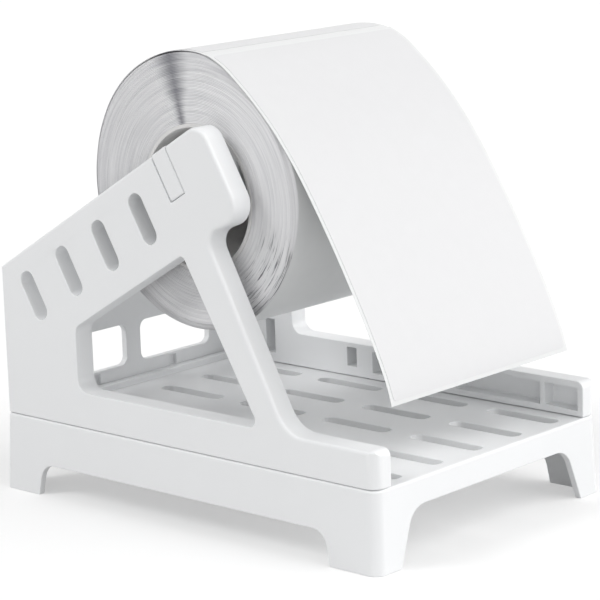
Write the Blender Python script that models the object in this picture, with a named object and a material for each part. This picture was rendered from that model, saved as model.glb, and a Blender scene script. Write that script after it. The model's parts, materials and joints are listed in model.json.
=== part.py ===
"""Label roll holder: a moulded tray on four feet, two side frames joined by a rear panel, and a
lift-out spindle that carries a roll of four inch labels.

Units are metres and +Z is up. The origin is on the floor under the middle of the tray. The open
end, where the labels leave, faces -Y, and the left side frame is the one at -X.
"""
import math

import bmesh
import bpy
from mathutils import Vector

MM = 0.001

# Clearances and cutters
SEAT_GAP = 0.3 * MM  # between two pieces that rest on each other or pass each other
PAPER_GAP = 0.2 * MM  # between sheets of paper that lie on each other
OVERRUN = 3.0 * MM  # how far a cutter runs past what it cuts
ARC_STEP = math.radians(15.0)  # the most that one facet of a rounded corner turns
SMALL_ARC_STEP = math.radians(30.0)  # the same on the small slots of the floor
FILLET_SHARE = 0.98  # of the room along the shorter side that a fillet may take
ROUND_FACETS = 48  # facets of the spindle
ROLL_FACETS = 72  # facets of the roll
SCREW_FACETS = 16

# Label stock that the holder is made for
LINER_WIDTH = 104.0 * MM  # the backing of a four inch label
LINER_MARGIN = 1.5 * MM  # of bare backing at each side of a label
LINER_SIDE_ROOM = 5.2 * MM  # between the backing and each side frame
LABEL_LENGTH = 146.0 * MM
LABEL_PITCH_GAP = 3.0 * MM
PAPER_THICKNESS = 0.25 * MM
CORE_BORE_DIAMETER = 52.8 * MM
CORE_WALL = 1.5 * MM
WOUND_THICKNESS = 19.0 * MM  # of the tight turns on the core

# Base tray
FRAME_THICKNESS = 8.8 * MM
STAND_WIDTH = LINER_WIDTH + 2 * (LINER_SIDE_ROOM + FRAME_THICKNESS)
STAND_LENGTH = 192.0 * MM
BASE_HEIGHT = 31.0 * MM
FLOOR_THICKNESS = 3.2 * MM
SKIRT_THICKNESS = 2.8 * MM
SKIRT_SPLAY = 1.2 * MM  # how far each side leans out between the tray's top and the floor
FRONT_CORNER_RADIUS = 4.5 * MM
BASE_EDGE_ROUND = 0.6 * MM

# Feet: each stands at a corner, wider at its root under the tray than at its tip
END_ARCH_HEIGHT = 21.0 * MM
END_ARCH_RADIUS = 9.0 * MM
FOOT_TIP_WIDTH = 12.2 * MM
FOOT_ROOT_WIDTH = 20.0 * MM
SIDE_ARCH_HEIGHT = 12.8 * MM
SIDE_ARCH_RADIUS = 7.0 * MM
FRONT_FOOT_TIP_LENGTH = 21.5 * MM
FRONT_FOOT_ROOT_LENGTH = 24.0 * MM
REAR_FOOT_TIP_LENGTH = 17.5 * MM
REAR_FOOT_ROOT_LENGTH = 20.0 * MM

FLOOR_SLOT_LENGTH = 33.0 * MM
FLOOR_SLOT_WIDTH = 6.6 * MM
FLOOR_SLOT_ROWS = 4
FLOOR_SLOT_COLUMNS = 5
FLOOR_SLOT_FRONT_MARGIN = 4.9 * MM  # from the tray's front edge to the first row
FLOOR_SLOT_REAR_MARGIN = 22.1 * MM  # from the last row to the tray's rear edge
FLOOR_SLOT_SIDE_MARGIN = 10.2 * MM  # from a side frame to the middle of the outer column
FLOOR_RIB_THICKNESS = 2.0 * MM
FLOOR_RIB_DEPTH = 2.5 * MM

# Spindle and the tongues that key it into the side frames
SPINDLE_Y = 0.4 * MM
SPINDLE_HEIGHT = 104.2 * MM  # of its axis above the top of the base
SPINDLE_DIAMETER = 30.0 * MM
SPINDLE_WALL = 2.5 * MM
SPINDLE_EDGE_ROUND = 0.8 * MM
TONGUE_HEIGHT = 19.0 * MM
TONGUE_WIDTH = 8.2 * MM
SPINDLE_HUB_DIAMETER = 17.2 * MM
SPINDLE_HUB_LENGTH = 13.0 * MM  # from a side frame to the cap
SPINDLE_CAP_THICKNESS = 4.8 * MM
SPINDLE_PLUG_LENGTH = 10.0 * MM
SPINDLE_PLUG_WALL = 2.0 * MM

# Side frames, in their own directions: "up the arm" runs forward and up along the sloping arm,
# and "lift" runs square to it, which is the way that the spindle comes out
FRAME_SKIN = 3.0 * MM
FRAME_WALL = 2.5 * MM
FRAME_EDGE_ROUND = 1.8 * MM
ARM_SLOPE = math.radians(30.3)
ARM_WIDTH = 38.0 * MM
HEAD_REACH = 25.2 * MM  # from the spindle's axis up the arm to the front of the head
HEAD_RADIUS = 7.5 * MM
NOSE_DROP = 30.6 * MM  # from the spindle's axis down to the nose, against the lift
NOSE_RADIUS = 8.6 * MM
NECK_REACH = 4.9 * MM
NECK_DROP = 27.0 * MM
NECK_RADIUS = 6.0 * MM
LEG_FOOT_LENGTH = 12.8 * MM  # from front to rear where the leg meets the rail
LEG_NECK_LENGTH = 17.0 * MM  # from front to rear at the neck
LEG_SETBACK = 41.8 * MM  # from the frame's front end to where the leg meets the rail
LEG_FOOT_RADIUS = 13.0 * MM
RAIL_HEIGHT = 14.3 * MM
RAIL_END_RADIUS = 3.0 * MM
REAR_POST_WIDTH = 42.0 * MM
WINDOW_LOWER_REAR_RADIUS = 5.0 * MM
WINDOW_UPPER_REAR_RADIUS = 4.0 * MM
WINDOW_UPPER_FRONT_RADIUS = 2.0 * MM
WINDOW_LOWER_FRONT_RADIUS = 3.0 * MM

ARM_SLOT_COUNT = 4
ARM_SLOT_LENGTH = 20.5 * MM
ARM_SLOT_WIDTH = 7.5 * MM
ARM_SLOT_FIRST = 21.3 * MM  # from the spindle's axis down the arm to the first slot
ARM_SLOT_REAR_MARGIN = 19.1 * MM  # from the middle of the last slot to the frame's rear end
ARM_SLOT_INSET = 18.0 * MM  # from the arm's top edge to the slots' middle line

FRAME_RIB_THICKNESS = 2.0 * MM
LATCH_SLOT_WIDTH = 5.0 * MM
MIDDLE_LATCH_HEIGHT = 8.0 * MM
REAR_LATCH_HEIGHT = 14.5 * MM
LATCH_SLOT_DEPTH = 7.0 * MM
LATCH_SLOT_LIFT = 4.0 * MM  # above the frame's lower edge
REAR_LATCH_OFFSET = 9.1 * MM  # behind the rear screw
MIDDLE_LATCH_OFFSET = 7.6 * MM  # behind the middle screw
FRONT_RIB_SETBACK = 19.3 * MM  # from the frame's front end

# Screws that hold each side frame down on the tray, beside the last rows of floor slots
SCREWS_PER_SIDE = 3
SCREW_INSET = 6.0 * MM  # from the frame's outer face
SCREW_SHANK_RADIUS = 1.45 * MM
SCREW_HEAD_RADIUS = 2.7 * MM
SCREW_HEAD_HEIGHT = 1.8 * MM
SCREW_TIP_LENGTH = 1.5 * MM
SCREW_GRIP = 8.0 * MM  # how far it reaches into the frame
SCREW_BOSS_WALL = 1.8 * MM

# Rear panel
PANEL_THICKNESS = 3.0 * MM
PANEL_HEIGHT = 55.0 * MM
PANEL_SETBACK = 2.3 * MM  # from the tray's rear end
PANEL_TOP_RADIUS = 3.0 * MM
PANEL_POST_WIDTH = 8.2 * MM
PANEL_END_WIDTH = 12.5 * MM
PANEL_WINDOW_LIFT = 7.7 * MM
PANEL_WINDOW_HEIGHT = 17.0 * MM
PANEL_WINDOW_RADIUS = 3.5 * MM
PANEL_LATCH_OFFSET = 22.0 * MM
PANEL_LATCH_LIFT = 2.2 * MM
PANEL_LATCH_WIDTH = 4.5 * MM
PANEL_LATCH_HEIGHT = 4.4 * MM
PANEL_LATCH_DEPTH = 1.6 * MM
PANEL_TAB_OFFSET = 40.0 * MM
PANEL_TAB_WIDTH = 12.0 * MM
PANEL_TAB_DEPTH = 2.8 * MM
STOP_RIDGE_HEIGHT = 2.5 * MM
STOP_RIDGE_DEPTH = 4.0 * MM
STOP_RIDGE_END_GAP = 3.0 * MM

# How the roll hangs on the spindle
ROLL_HANG_ANGLE = math.radians(4.35)  # how far ahead of the spindle's axis the roll hangs

# The outer turns are slack. Their depth is SLACK_DEPTH times the share at each angle, counted
# from the rear over the top of the roll; they are pulled flat where the leader leaves.
SLACK_DEPTH = 8.2 * MM
SLACK_SHARES = (
    (15.0, 0.81), (45.0, 0.99), (75.0, 0.95), (95.0, 0.84), (105.0, 0.61), (119.0, 0.21),
    (135.0, 0.05), (150.0, 0.17), (160.0, 0.38), (172.0, 0.40), (204.0, 0.27), (234.0, 0.26),
    (269.0, 0.24), (306.0, 0.34), (340.0, 0.58),
)
GAP_ANGLE = math.radians(98.0)  # of the gap between two labels, near the top
LEAVE_ANGLE = math.radians(157.5)  # where the leader leaves the roll
LEADER_SETBACK = 3.8 * MM  # of the leader's end from the tray's front
LEADER_END_HEIGHT = 27.3 * MM  # above the top of the base
LEADER_START_HANDLE = 20.0 * MM
LEADER_END_HANDLE = 16.0 * MM
LEADER_END_SLOPE = math.radians(9.0)  # from upright
LEADER_STEPS = 24
LEADER_END_MARGIN = 1.5 * MM

# Places that several pieces share
HALF_WIDTH = STAND_WIDTH / 2
HALF_LENGTH = STAND_LENGTH / 2
FRAME_INNER_X = HALF_WIDTH - FRAME_THICKNESS
TIGHT_ROLL_RADIUS = CORE_BORE_DIAMETER / 2 + CORE_WALL + SEAT_GAP + WOUND_THICKNESS
FRAME_SEAT_Z = BASE_HEIGHT + SEAT_GAP
SPINDLE_Z = BASE_HEIGHT + SPINDLE_HEIGHT
UP_THE_ARM = Vector((-math.cos(ARM_SLOPE), math.sin(ARM_SLOPE)))
LIFT = Vector((math.sin(ARM_SLOPE), math.cos(ARM_SLOPE)))
SPINDLE_CENTRE = Vector((SPINDLE_Y, SPINDLE_Z))
ROLL_HANG = (CORE_BORE_DIAMETER - SPINDLE_DIAMETER) / 2 - SEAT_GAP
ROLL_CENTRE = SPINDLE_CENTRE + ROLL_HANG * Vector(
    (-math.sin(ROLL_HANG_ANGLE), -math.cos(ROLL_HANG_ANGLE)))
PANEL_FRONT_Y = HALF_LENGTH - PANEL_SETBACK - PANEL_THICKNESS


# Outlines

def turn_of(before, corner, after):
    """How an outline turns at a corner: positive is to the left."""
    a = corner - before
    b = after - corner
    return a.x * b.y - a.y * b.x


def rounded(corners, arc_step=ARC_STEP):
    """The points of an outline given as (corner, radius) pairs."""
    points = []
    count = len(corners)
    for i, (corner, radius) in enumerate(corners):
        before = corners[i - 1][0]
        after = corners[(i + 1) % count][0]
        to_before = (before - corner).normalized()
        to_after = (after - corner).normalized()
        half = to_before.angle(to_after) / 2
        room = min((before - corner).length, (after - corner).length) / 2
        radius = min(radius, room * math.tan(half) * FILLET_SHARE)
        if radius <= 0:
            points.append(corner.copy())
            continue
        centre = corner + (to_before + to_after).normalized() * (radius / math.sin(half))
        start = corner + to_before * (radius / math.tan(half)) - centre
        sweep = math.copysign(math.pi - 2 * half, turn_of(before, corner, after))
        steps = max(2, math.ceil(abs(sweep) / arc_step))
        for step in range(steps + 1):
            angle = sweep * step / steps
            points.append(centre + Vector((
                start.x * math.cos(angle) - start.y * math.sin(angle),
                start.x * math.sin(angle) + start.y * math.cos(angle))))
    return points


def inset(corners, distance):
    """A left-turning outline with every side moved inwards, its rounded corners with it."""
    moved = []
    count = len(corners)
    for i, (corner, radius) in enumerate(corners):
        before = corners[i - 1][0]
        after = corners[(i + 1) % count][0]
        a = (corner - before).normalized()
        b = (after - corner).normalized()
        normal_a = Vector((-a.y, a.x))
        normal_b = Vector((-b.y, b.x))
        shift = (normal_a + normal_b) * (distance / (1 + normal_a.dot(normal_b)))
        outer = turn_of(before, corner, after) < 0
        moved.append((corner + shift, max(radius + (distance if outer else -distance), 0)))
    return moved


def rectangle(low_a, high_a, low_b, high_b, radius=0):
    """Corners of an upright rectangle, all rounded alike."""
    return [
        (Vector((low_a, low_b)), radius),
        (Vector((high_a, low_b)), radius),
        (Vector((high_a, high_b)), radius),
        (Vector((low_a, high_b)), radius),
    ]


def slot_outline(centre, along, length, width):
    """Corners of a slot with round ends, centred on a point."""
    across = Vector((-along.y, along.x))
    a = along * (length / 2)
    b = across * (width / 2)
    return [(centre - a - b, width / 2), (centre + a - b, width / 2),
            (centre + a + b, width / 2), (centre - a + b, width / 2)]


def stand_footprint():
    """The tray's outline from above: wide corners in front, tight ones behind."""
    return [
        (Vector((-HALF_WIDTH, -HALF_LENGTH)), FRONT_CORNER_RADIUS),
        (Vector((HALF_WIDTH, -HALF_LENGTH)), FRONT_CORNER_RADIUS),
        (Vector((HALF_WIDTH, HALF_LENGTH)), FRAME_EDGE_ROUND),
        (Vector((-HALF_WIDTH, HALF_LENGTH)), FRAME_EDGE_ROUND),
    ]


# Meshes

def place(point, axis, offset):
    """Puts an outline's point in space: the outline is square to the axis."""
    if axis == "X":
        return (offset, point[0], point[1])
    if axis == "Y":
        return (point[0], offset, point[1])
    return (point[0], point[1], offset)


def extruded(bm, faces, axis, distance):
    """Extrudes faces along an axis and leaves a closed shell."""
    result = bmesh.ops.extrude_face_region(bm, geom=faces)
    verts = [item for item in result["geom"] if isinstance(item, bmesh.types.BMVert)]
    bmesh.ops.translate(bm, verts=verts, vec=place((0, 0), axis, distance))
    return verts


def prism(bm, points, axis, low, high):
    """Adds one outline extruded from low to high."""
    verts = [bm.verts.new(place(point, axis, low)) for point in points]
    face = bm.faces.new(verts)
    extruded(bm, [face], axis, high - low)


def prisms(outlines, axis, low, high):
    """A mesh of separate outlines, all extruded alike."""
    bm = bmesh.new()
    for points in outlines:
        prism(bm, points, axis, low, high)
    return bm


def band(bm, inner, outer, axis, low, high, closed):
    """Adds the strip between two rows of points, extruded from low to high."""
    inner_verts = [bm.verts.new(place(point, axis, low)) for point in inner]
    outer_verts = [bm.verts.new(place(point, axis, low)) for point in outer]
    count = len(inner_verts)
    faces = []
    for i in range(count if closed else count - 1):
        j = (i + 1) % count
        faces.append(bm.faces.new((inner_verts[i], inner_verts[j], outer_verts[j], outer_verts[i])))
    extruded(bm, faces, axis, high - low)


def turned(profile, axis, facets):
    """A solid turned from (distance along the axis, radius) points. A profile that starts and
    ends on the axis gives a solid piece, and any other is closed into a ring."""
    bm = bmesh.new()
    across = {"X": Vector((0, 0, 1)), "Z": Vector((1, 0, 0))}[axis]
    along = Vector(place((0, 0), axis, 1))
    verts = [bm.verts.new(along * a + across * r) for a, r in profile]
    pairs = list(zip(verts, verts[1:]))
    if profile[0][1] > 0:
        pairs.append((verts[-1], verts[0]))
    edges = [bm.edges.new(pair) for pair in pairs]
    bmesh.ops.spin(bm, geom=verts + edges, cent=(0, 0, 0), axis=along, angle=2 * math.pi,
                   steps=facets, use_merge=True)
    bmesh.ops.remove_doubles(bm, verts=bm.verts[:], dist=PAPER_GAP / 100)
    return bm


def round_edges(bm, wanted, width, segments):
    """Bevels the edges that a test picks."""
    edges = [edge for edge in bm.edges if wanted(edge)]
    bmesh.ops.bevel(bm, geom=edges, offset=width, offset_type="OFFSET", affect="EDGES",
                    segments=segments, profile=0.5, material=-1, clamp_overlap=True)


def edge_lies_at(edge, coordinate, value):
    return all(abs(vert.co[coordinate] - value) < PAPER_GAP / 10 for vert in edge.verts)


# Objects and materials

def make_material(name, color, roughness, metallic=0.0):
    material = bpy.data.materials.new(name)
    material.use_nodes = True
    shader = material.node_tree.nodes["Principled BSDF"]
    shader.inputs["Base Color"].default_value = (*color, 1.0)
    shader.inputs["Roughness"].default_value = roughness
    shader.inputs["Metallic"].default_value = metallic
    return material


def make_object(name, bm, material, parent=None, location=(0, 0, 0)):
    """Turns a mesh into a named sub-part."""
    bmesh.ops.recalc_face_normals(bm, faces=bm.faces[:])
    mesh = bpy.data.meshes.new(name)
    bm.to_mesh(mesh)
    bm.free()
    mesh.shade_smooth()
    mesh.set_sharp_from_angle(angle=math.radians(35))
    mesh.materials.append(material)
    obj = bpy.data.objects.new(name, mesh)
    obj.location = location
    obj.parent = parent
    bpy.context.collection.objects.link(obj)
    return obj


def make_empty(name, location, parent=None):
    empty = bpy.data.objects.new(name, None)
    empty.location = location
    empty.parent = parent
    bpy.context.collection.objects.link(empty)
    return empty


def make_cutter(name, bm, owner):
    """A helper shape that only shapes its owner."""
    cutter = make_object(name, bm, owner.data.materials[0], parent=owner)
    cutter.hide_render = True
    cutter.display_type = "WIRE"
    return cutter


def combine(obj, operation, name, bm):
    """Gives an object a Boolean with a new helper shape, and returns that shape."""
    cutter = make_cutter(name, bm, obj)
    modifier = obj.modifiers.new(name, "BOOLEAN")
    modifier.operation = operation
    modifier.solver = "EXACT"
    modifier.object = cutter
    return cutter


# Base tray

def arch_outline(half_span, height, radius, first_foot, last_foot):
    """An arch between two feet, open below. A foot is (tip, root), its size at the floor and at
    the top of the arch, and the arch's sides run on past the floor at the same lean."""
    first_tip, first_root = first_foot
    last_tip, last_root = last_foot
    first_lean = (first_root - first_tip) / height * OVERRUN
    last_lean = (last_root - last_tip) / height * OVERRUN
    return rounded([
        (Vector((-half_span + first_tip - first_lean, -OVERRUN)), 0),
        (Vector((half_span - last_tip + last_lean, -OVERRUN)), 0),
        (Vector((half_span - last_root, height)), radius),
        (Vector((-half_span + first_root, height)), radius),
    ])


def spread(first, last, count):
    """Evenly spaced places from first to last."""
    return [first + (last - first) * i / (count - 1) for i in range(count)]


def floor_slot_rows():
    first = -HALF_LENGTH + FLOOR_SLOT_FRONT_MARGIN + FLOOR_SLOT_LENGTH / 2
    last = HALF_LENGTH - FLOOR_SLOT_REAR_MARGIN - FLOOR_SLOT_LENGTH / 2
    return spread(first, last, FLOOR_SLOT_ROWS)


def floor_slot_columns():
    last = FRAME_INNER_X - FLOOR_SLOT_SIDE_MARGIN
    return spread(-last, last, FLOOR_SLOT_COLUMNS)


def rib_sections(centres):
    """Cross-sections of the floor's ribs, which hang midway between the slots and are rooted in
    the floor."""
    low = BASE_HEIGHT - FLOOR_THICKNESS - FLOOR_RIB_DEPTH
    high = BASE_HEIGHT - FLOOR_THICKNESS / 2
    half = FLOOR_RIB_THICKNESS / 2
    middles = [(a + b) / 2 for a, b in zip(centres, centres[1:])]
    return [rounded(rectangle(middle - half, middle + half, low, high)) for middle in middles]


def screw_places(side):
    x = side * (HALF_WIDTH - SCREW_INSET)
    return [Vector((x, y)) for y in floor_slot_rows()[-SCREWS_PER_SIDE:]]


def circle_outline(centre, radius, facets):
    steps = [2 * math.pi * i / facets for i in range(facets)]
    return [centre + radius * Vector((math.cos(a), math.sin(a))) for a in steps]


def panel_tab_places():
    return [side * PANEL_TAB_OFFSET for side in (-1, 1)]


def splayed(bm):
    """Leans the tray's sides out towards the floor, its corners with them."""
    for vert in bm.verts:
        lean = SKIRT_SPLAY * (1 - vert.co.z / BASE_HEIGHT)
        vert.co.x += math.copysign(lean, vert.co.x)
        vert.co.y += math.copysign(lean, vert.co.y)
    return bm


def build_base(plastic):
    bm = splayed(prisms([rounded(stand_footprint())], "Z", 0, BASE_HEIGHT))
    round_edges(bm, lambda edge: edge_lies_at(edge, 2, BASE_HEIGHT), BASE_EDGE_ROUND, 1)
    base = make_object("base_tray", bm, plastic)

    cavity = rounded(inset(stand_footprint(), SKIRT_THICKNESS))
    combine(base, "DIFFERENCE", "tray_cavity", splayed(prisms(
        [cavity], "Z", -OVERRUN, BASE_HEIGHT - FLOOR_THICKNESS)))
    rib_end_x = HALF_WIDTH - SKIRT_THICKNESS / 2
    rib_end_y = HALF_LENGTH - SKIRT_THICKNESS / 2
    combine(base, "UNION", "lengthwise_ribs", prisms(
        rib_sections(floor_slot_columns()), "Y", -rib_end_y, rib_end_y))
    combine(base, "UNION", "crosswise_ribs", prisms(
        rib_sections(floor_slot_rows()), "X", -rib_end_x, rib_end_x))

    foot_widths = (FOOT_TIP_WIDTH, FOOT_ROOT_WIDTH)
    end = arch_outline(HALF_WIDTH, END_ARCH_HEIGHT, END_ARCH_RADIUS, foot_widths, foot_widths)
    combine(base, "DIFFERENCE", "front_and_rear_arches", prisms(
        [end], "Y", -HALF_LENGTH - OVERRUN, HALF_LENGTH + OVERRUN))
    side = arch_outline(HALF_LENGTH, SIDE_ARCH_HEIGHT, SIDE_ARCH_RADIUS,
                        (FRONT_FOOT_TIP_LENGTH, FRONT_FOOT_ROOT_LENGTH),
                        (REAR_FOOT_TIP_LENGTH, REAR_FOOT_ROOT_LENGTH))
    combine(base, "DIFFERENCE", "side_arches", prisms(
        [side], "X", -HALF_WIDTH - OVERRUN, HALF_WIDTH + OVERRUN))

    along = Vector((0, 1))
    slots = [rounded(slot_outline(Vector((x, y)), along, FLOOR_SLOT_LENGTH, FLOOR_SLOT_WIDTH),
                     SMALL_ARC_STEP) for x in floor_slot_columns() for y in floor_slot_rows()]
    combine(base, "DIFFERENCE", "floor_slots", prisms(
        slots, "Z", BASE_HEIGHT - FLOOR_THICKNESS - OVERRUN, BASE_HEIGHT + OVERRUN))

    ridge_end = FRAME_INNER_X - STOP_RIDGE_END_GAP
    ridge = rounded(rectangle(
        PANEL_FRONT_Y - SEAT_GAP - STOP_RIDGE_DEPTH, PANEL_FRONT_Y - SEAT_GAP,
        BASE_HEIGHT - FLOOR_THICKNESS / 2, BASE_HEIGHT + STOP_RIDGE_HEIGHT))
    combine(base, "UNION", "stop_ridge", prisms([ridge], "X", -ridge_end, ridge_end))

    holes = [circle_outline(place_of, SCREW_SHANK_RADIUS + SEAT_GAP, SCREW_FACETS)
             for side in (-1, 1) for place_of in screw_places(side)]
    for x in panel_tab_places():
        holes.append(rounded(rectangle(
            x - PANEL_TAB_WIDTH / 2 - SEAT_GAP, x + PANEL_TAB_WIDTH / 2 + SEAT_GAP,
            PANEL_FRONT_Y - SEAT_GAP, PANEL_FRONT_Y + PANEL_THICKNESS + SEAT_GAP)))
    combine(base, "DIFFERENCE", "screw_and_tab_holes", prisms(
        holes, "Z", BASE_HEIGHT - FLOOR_THICKNESS - OVERRUN, BASE_HEIGHT + OVERRUN))


# Side frames

def arm_point(up, lift):
    """A place on a side frame, measured from the spindle's axis."""
    return SPINDLE_CENTRE + UP_THE_ARM * up + LIFT * lift


def arm_top_height(y, below=0):
    """Height of a line that runs along the arm, a distance below its top edge."""
    return SPINDLE_Z + (TONGUE_HEIGHT / 2 - below - (y - SPINDLE_Y) * LIFT.x) / LIFT.y


def leg_foot():
    return Vector((-HALF_LENGTH + LEG_SETBACK, BASE_HEIGHT + RAIL_HEIGHT))


def frame_outline():
    """The side frame from its side: rear post, sloping arm, head, leg and rail."""
    return [
        (Vector((HALF_LENGTH, FRAME_SEAT_Z)), 0),
        (Vector((HALF_LENGTH, arm_top_height(HALF_LENGTH))), 0),
        (arm_point(HEAD_REACH, TONGUE_HEIGHT / 2), HEAD_RADIUS),
        (arm_point(HEAD_REACH, -NOSE_DROP), NOSE_RADIUS),
        (arm_point(NECK_REACH, -NECK_DROP), NECK_RADIUS),
        (leg_foot(), LEG_FOOT_RADIUS),
        (Vector((-HALF_LENGTH, BASE_HEIGHT + RAIL_HEIGHT)), RAIL_END_RADIUS),
        (Vector((-HALF_LENGTH, FRAME_SEAT_Z)), 0),
    ]


def window_outline():
    """The opening between the rear post, the arm, the leg and the rail."""
    rear = HALF_LENGTH - REAR_POST_WIDTH
    bottom = BASE_HEIGHT + RAIL_HEIGHT
    lower_front = leg_foot() + Vector((LEG_FOOT_LENGTH, 0))
    leg = arm_point(NECK_REACH, -NECK_DROP) + Vector((LEG_NECK_LENGTH, 0)) - lower_front
    # Where the leg's rear edge meets the line under the arm
    drop = arm_top_height(lower_front.x, ARM_WIDTH) - bottom
    rise = drop / (leg.y + leg.x * LIFT.x / LIFT.y)
    return [
        (Vector((rear, bottom)), WINDOW_LOWER_REAR_RADIUS),
        (Vector((rear, arm_top_height(rear, ARM_WIDTH))), WINDOW_UPPER_REAR_RADIUS),
        (lower_front + leg * rise, WINDOW_UPPER_FRONT_RADIUS),
        (lower_front, WINDOW_LOWER_FRONT_RADIUS),
    ]


def arm_slot_centres():
    lift = TONGUE_HEIGHT / 2 - ARM_SLOT_INSET
    last = (HALF_LENGTH - ARM_SLOT_REAR_MARGIN - SPINDLE_Y - lift * LIFT.x) / LIFT.y
    return [arm_point(-down, lift) for down in spread(ARM_SLOT_FIRST, last, ARM_SLOT_COUNT)]


def arm_slot_outlines(collar=0):
    return [rounded(slot_outline(centre, LIFT, ARM_SLOT_LENGTH + 2 * collar,
                                 ARM_SLOT_WIDTH + 2 * collar)) for centre in arm_slot_centres()]


def notch_outline(collar=0):
    """The open notch that the spindle's tongue drops into."""
    half = TONGUE_WIDTH / 2 + SEAT_GAP + collar
    bottom = -TONGUE_HEIGHT / 2 - SEAT_GAP - collar
    top = TONGUE_HEIGHT / 2 + OVERRUN
    return [arm_point(half, bottom), arm_point(-half, bottom),
            arm_point(-half, top), arm_point(half, top)]


def latches():
    """The middle and the rear latch slot: where each one is, and its height."""
    middle, rear = floor_slot_rows()[-2:]
    return [(middle + MIDDLE_LATCH_OFFSET, MIDDLE_LATCH_HEIGHT),
            (rear + REAR_LATCH_OFFSET, REAR_LATCH_HEIGHT)]


def inner_skin_outline():
    """Where a side frame's inner side is smooth: from the middle latch to the rear end, and up to
    the arm's slots."""
    front = latches()[0][0]
    window_rear = HALF_LENGTH - REAR_POST_WIDTH
    below = ARM_SLOT_INSET + ARM_SLOT_LENGTH / 2 + FRAME_RIB_THICKNESS
    low = BASE_HEIGHT - OVERRUN
    rail_middle = BASE_HEIGHT + RAIL_HEIGHT - FRAME_WALL / 2
    beyond = HALF_LENGTH + OVERRUN
    return [
        Vector((front, low)),
        Vector((beyond, low)),
        Vector((beyond, arm_top_height(beyond, below))),
        Vector((window_rear - FRAME_WALL, arm_top_height(window_rear - FRAME_WALL, below))),
        Vector((window_rear - FRAME_WALL, rail_middle)),
        Vector((front, rail_middle)),
    ]


def hollows_below(side):
    """Behind its smooth skin the rail is hollow from below, between the latches and the screws."""
    (middle, _), (rear, _) = latches()
    latch_half = LATCH_SLOT_WIDTH / 2 + FRAME_RIB_THICKNESS
    boss_half = SCREW_SHANK_RADIUS + SEAT_GAP + SCREW_BOSS_WALL
    stretches = [(middle + latch_half, screw_places(side)[-1].y - boss_half),
                 (rear + latch_half, HALF_LENGTH - FRAME_WALL)]
    across = sorted((side * (FRAME_INNER_X + FRAME_WALL), side * (HALF_WIDTH - FRAME_SKIN)))
    return [rounded(rectangle(*across, low, high)) for low, high in stretches]


def outside_front_corner(side, wall):
    """What lies outside a front corner of the tray, or outside a wall of that corner. Its first
    and last facets run on past the tray's sides, so that they cut them cleanly."""
    radius = FRONT_CORNER_RADIUS - wall
    centre = Vector((side * (HALF_WIDTH - FRONT_CORNER_RADIUS), -HALF_LENGTH + FRONT_CORNER_RADIUS))
    steps = math.ceil(math.pi / 2 / ARC_STEP)
    angles = [math.pi / 2 * i / steps for i in range(steps + 1)]
    arc = [centre + radius * Vector((side * math.cos(a), -math.sin(a))) for a in angles]
    reach = FRONT_CORNER_RADIUS
    arc[0] += (arc[0] - arc[1]).normalized() * reach
    arc[-1] += (arc[-1] - arc[-2]).normalized() * reach
    far = centre + Vector((side, -1)) * (radius + reach)
    return arc + [Vector((arc[-1].x, far.y)), far, Vector((far.x, arc[0].y))]


def pocket_keepers():
    """What stays solid behind the frame's skin: collars round the openings, ribs and bosses."""
    latch_half = LATCH_SLOT_WIDTH / 2 + FRAME_RIB_THICKNESS
    rib_half = FRAME_RIB_THICKNESS / 2
    boss_half = SCREW_SHANK_RADIUS + SEAT_GAP + SCREW_BOSS_WALL
    below = BASE_HEIGHT - OVERRUN
    rail_top = BASE_HEIGHT + RAIL_HEIGHT
    ribs = [(y, latch_half) for y, _ in latches()] + [(-HALF_LENGTH + FRONT_RIB_SETBACK, rib_half)]
    bosses = [(centre.y, boss_half) for centre in screw_places(1)]

    def blocks(uprights):
        return [rounded(rectangle(y - half, y + half, below, rail_top)) for y, half in uprights]

    arm_ribs = []
    for first, second in zip(arm_slot_centres(), arm_slot_centres()[1:]):
        middle = (first + second) / 2
        reach = ARM_WIDTH / 2
        along = UP_THE_ARM * rib_half
        arm_ribs.append([middle - LIFT * reach - along, middle - LIFT * reach + along,
                         middle + LIFT * reach + along, middle + LIFT * reach - along])
    return {
        "window_collar": [rounded(inset(window_outline(), -FRAME_WALL))],
        "slot_collars": arm_slot_outlines(FRAME_RIB_THICKNESS),
        "notch_collar": [notch_outline(FRAME_WALL)],
        "rail_ribs": blocks(ribs),
        "screw_bosses": blocks(bosses),
        "arm_ribs": arm_ribs,
        "inner_skin": [inner_skin_outline()],
    }


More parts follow.
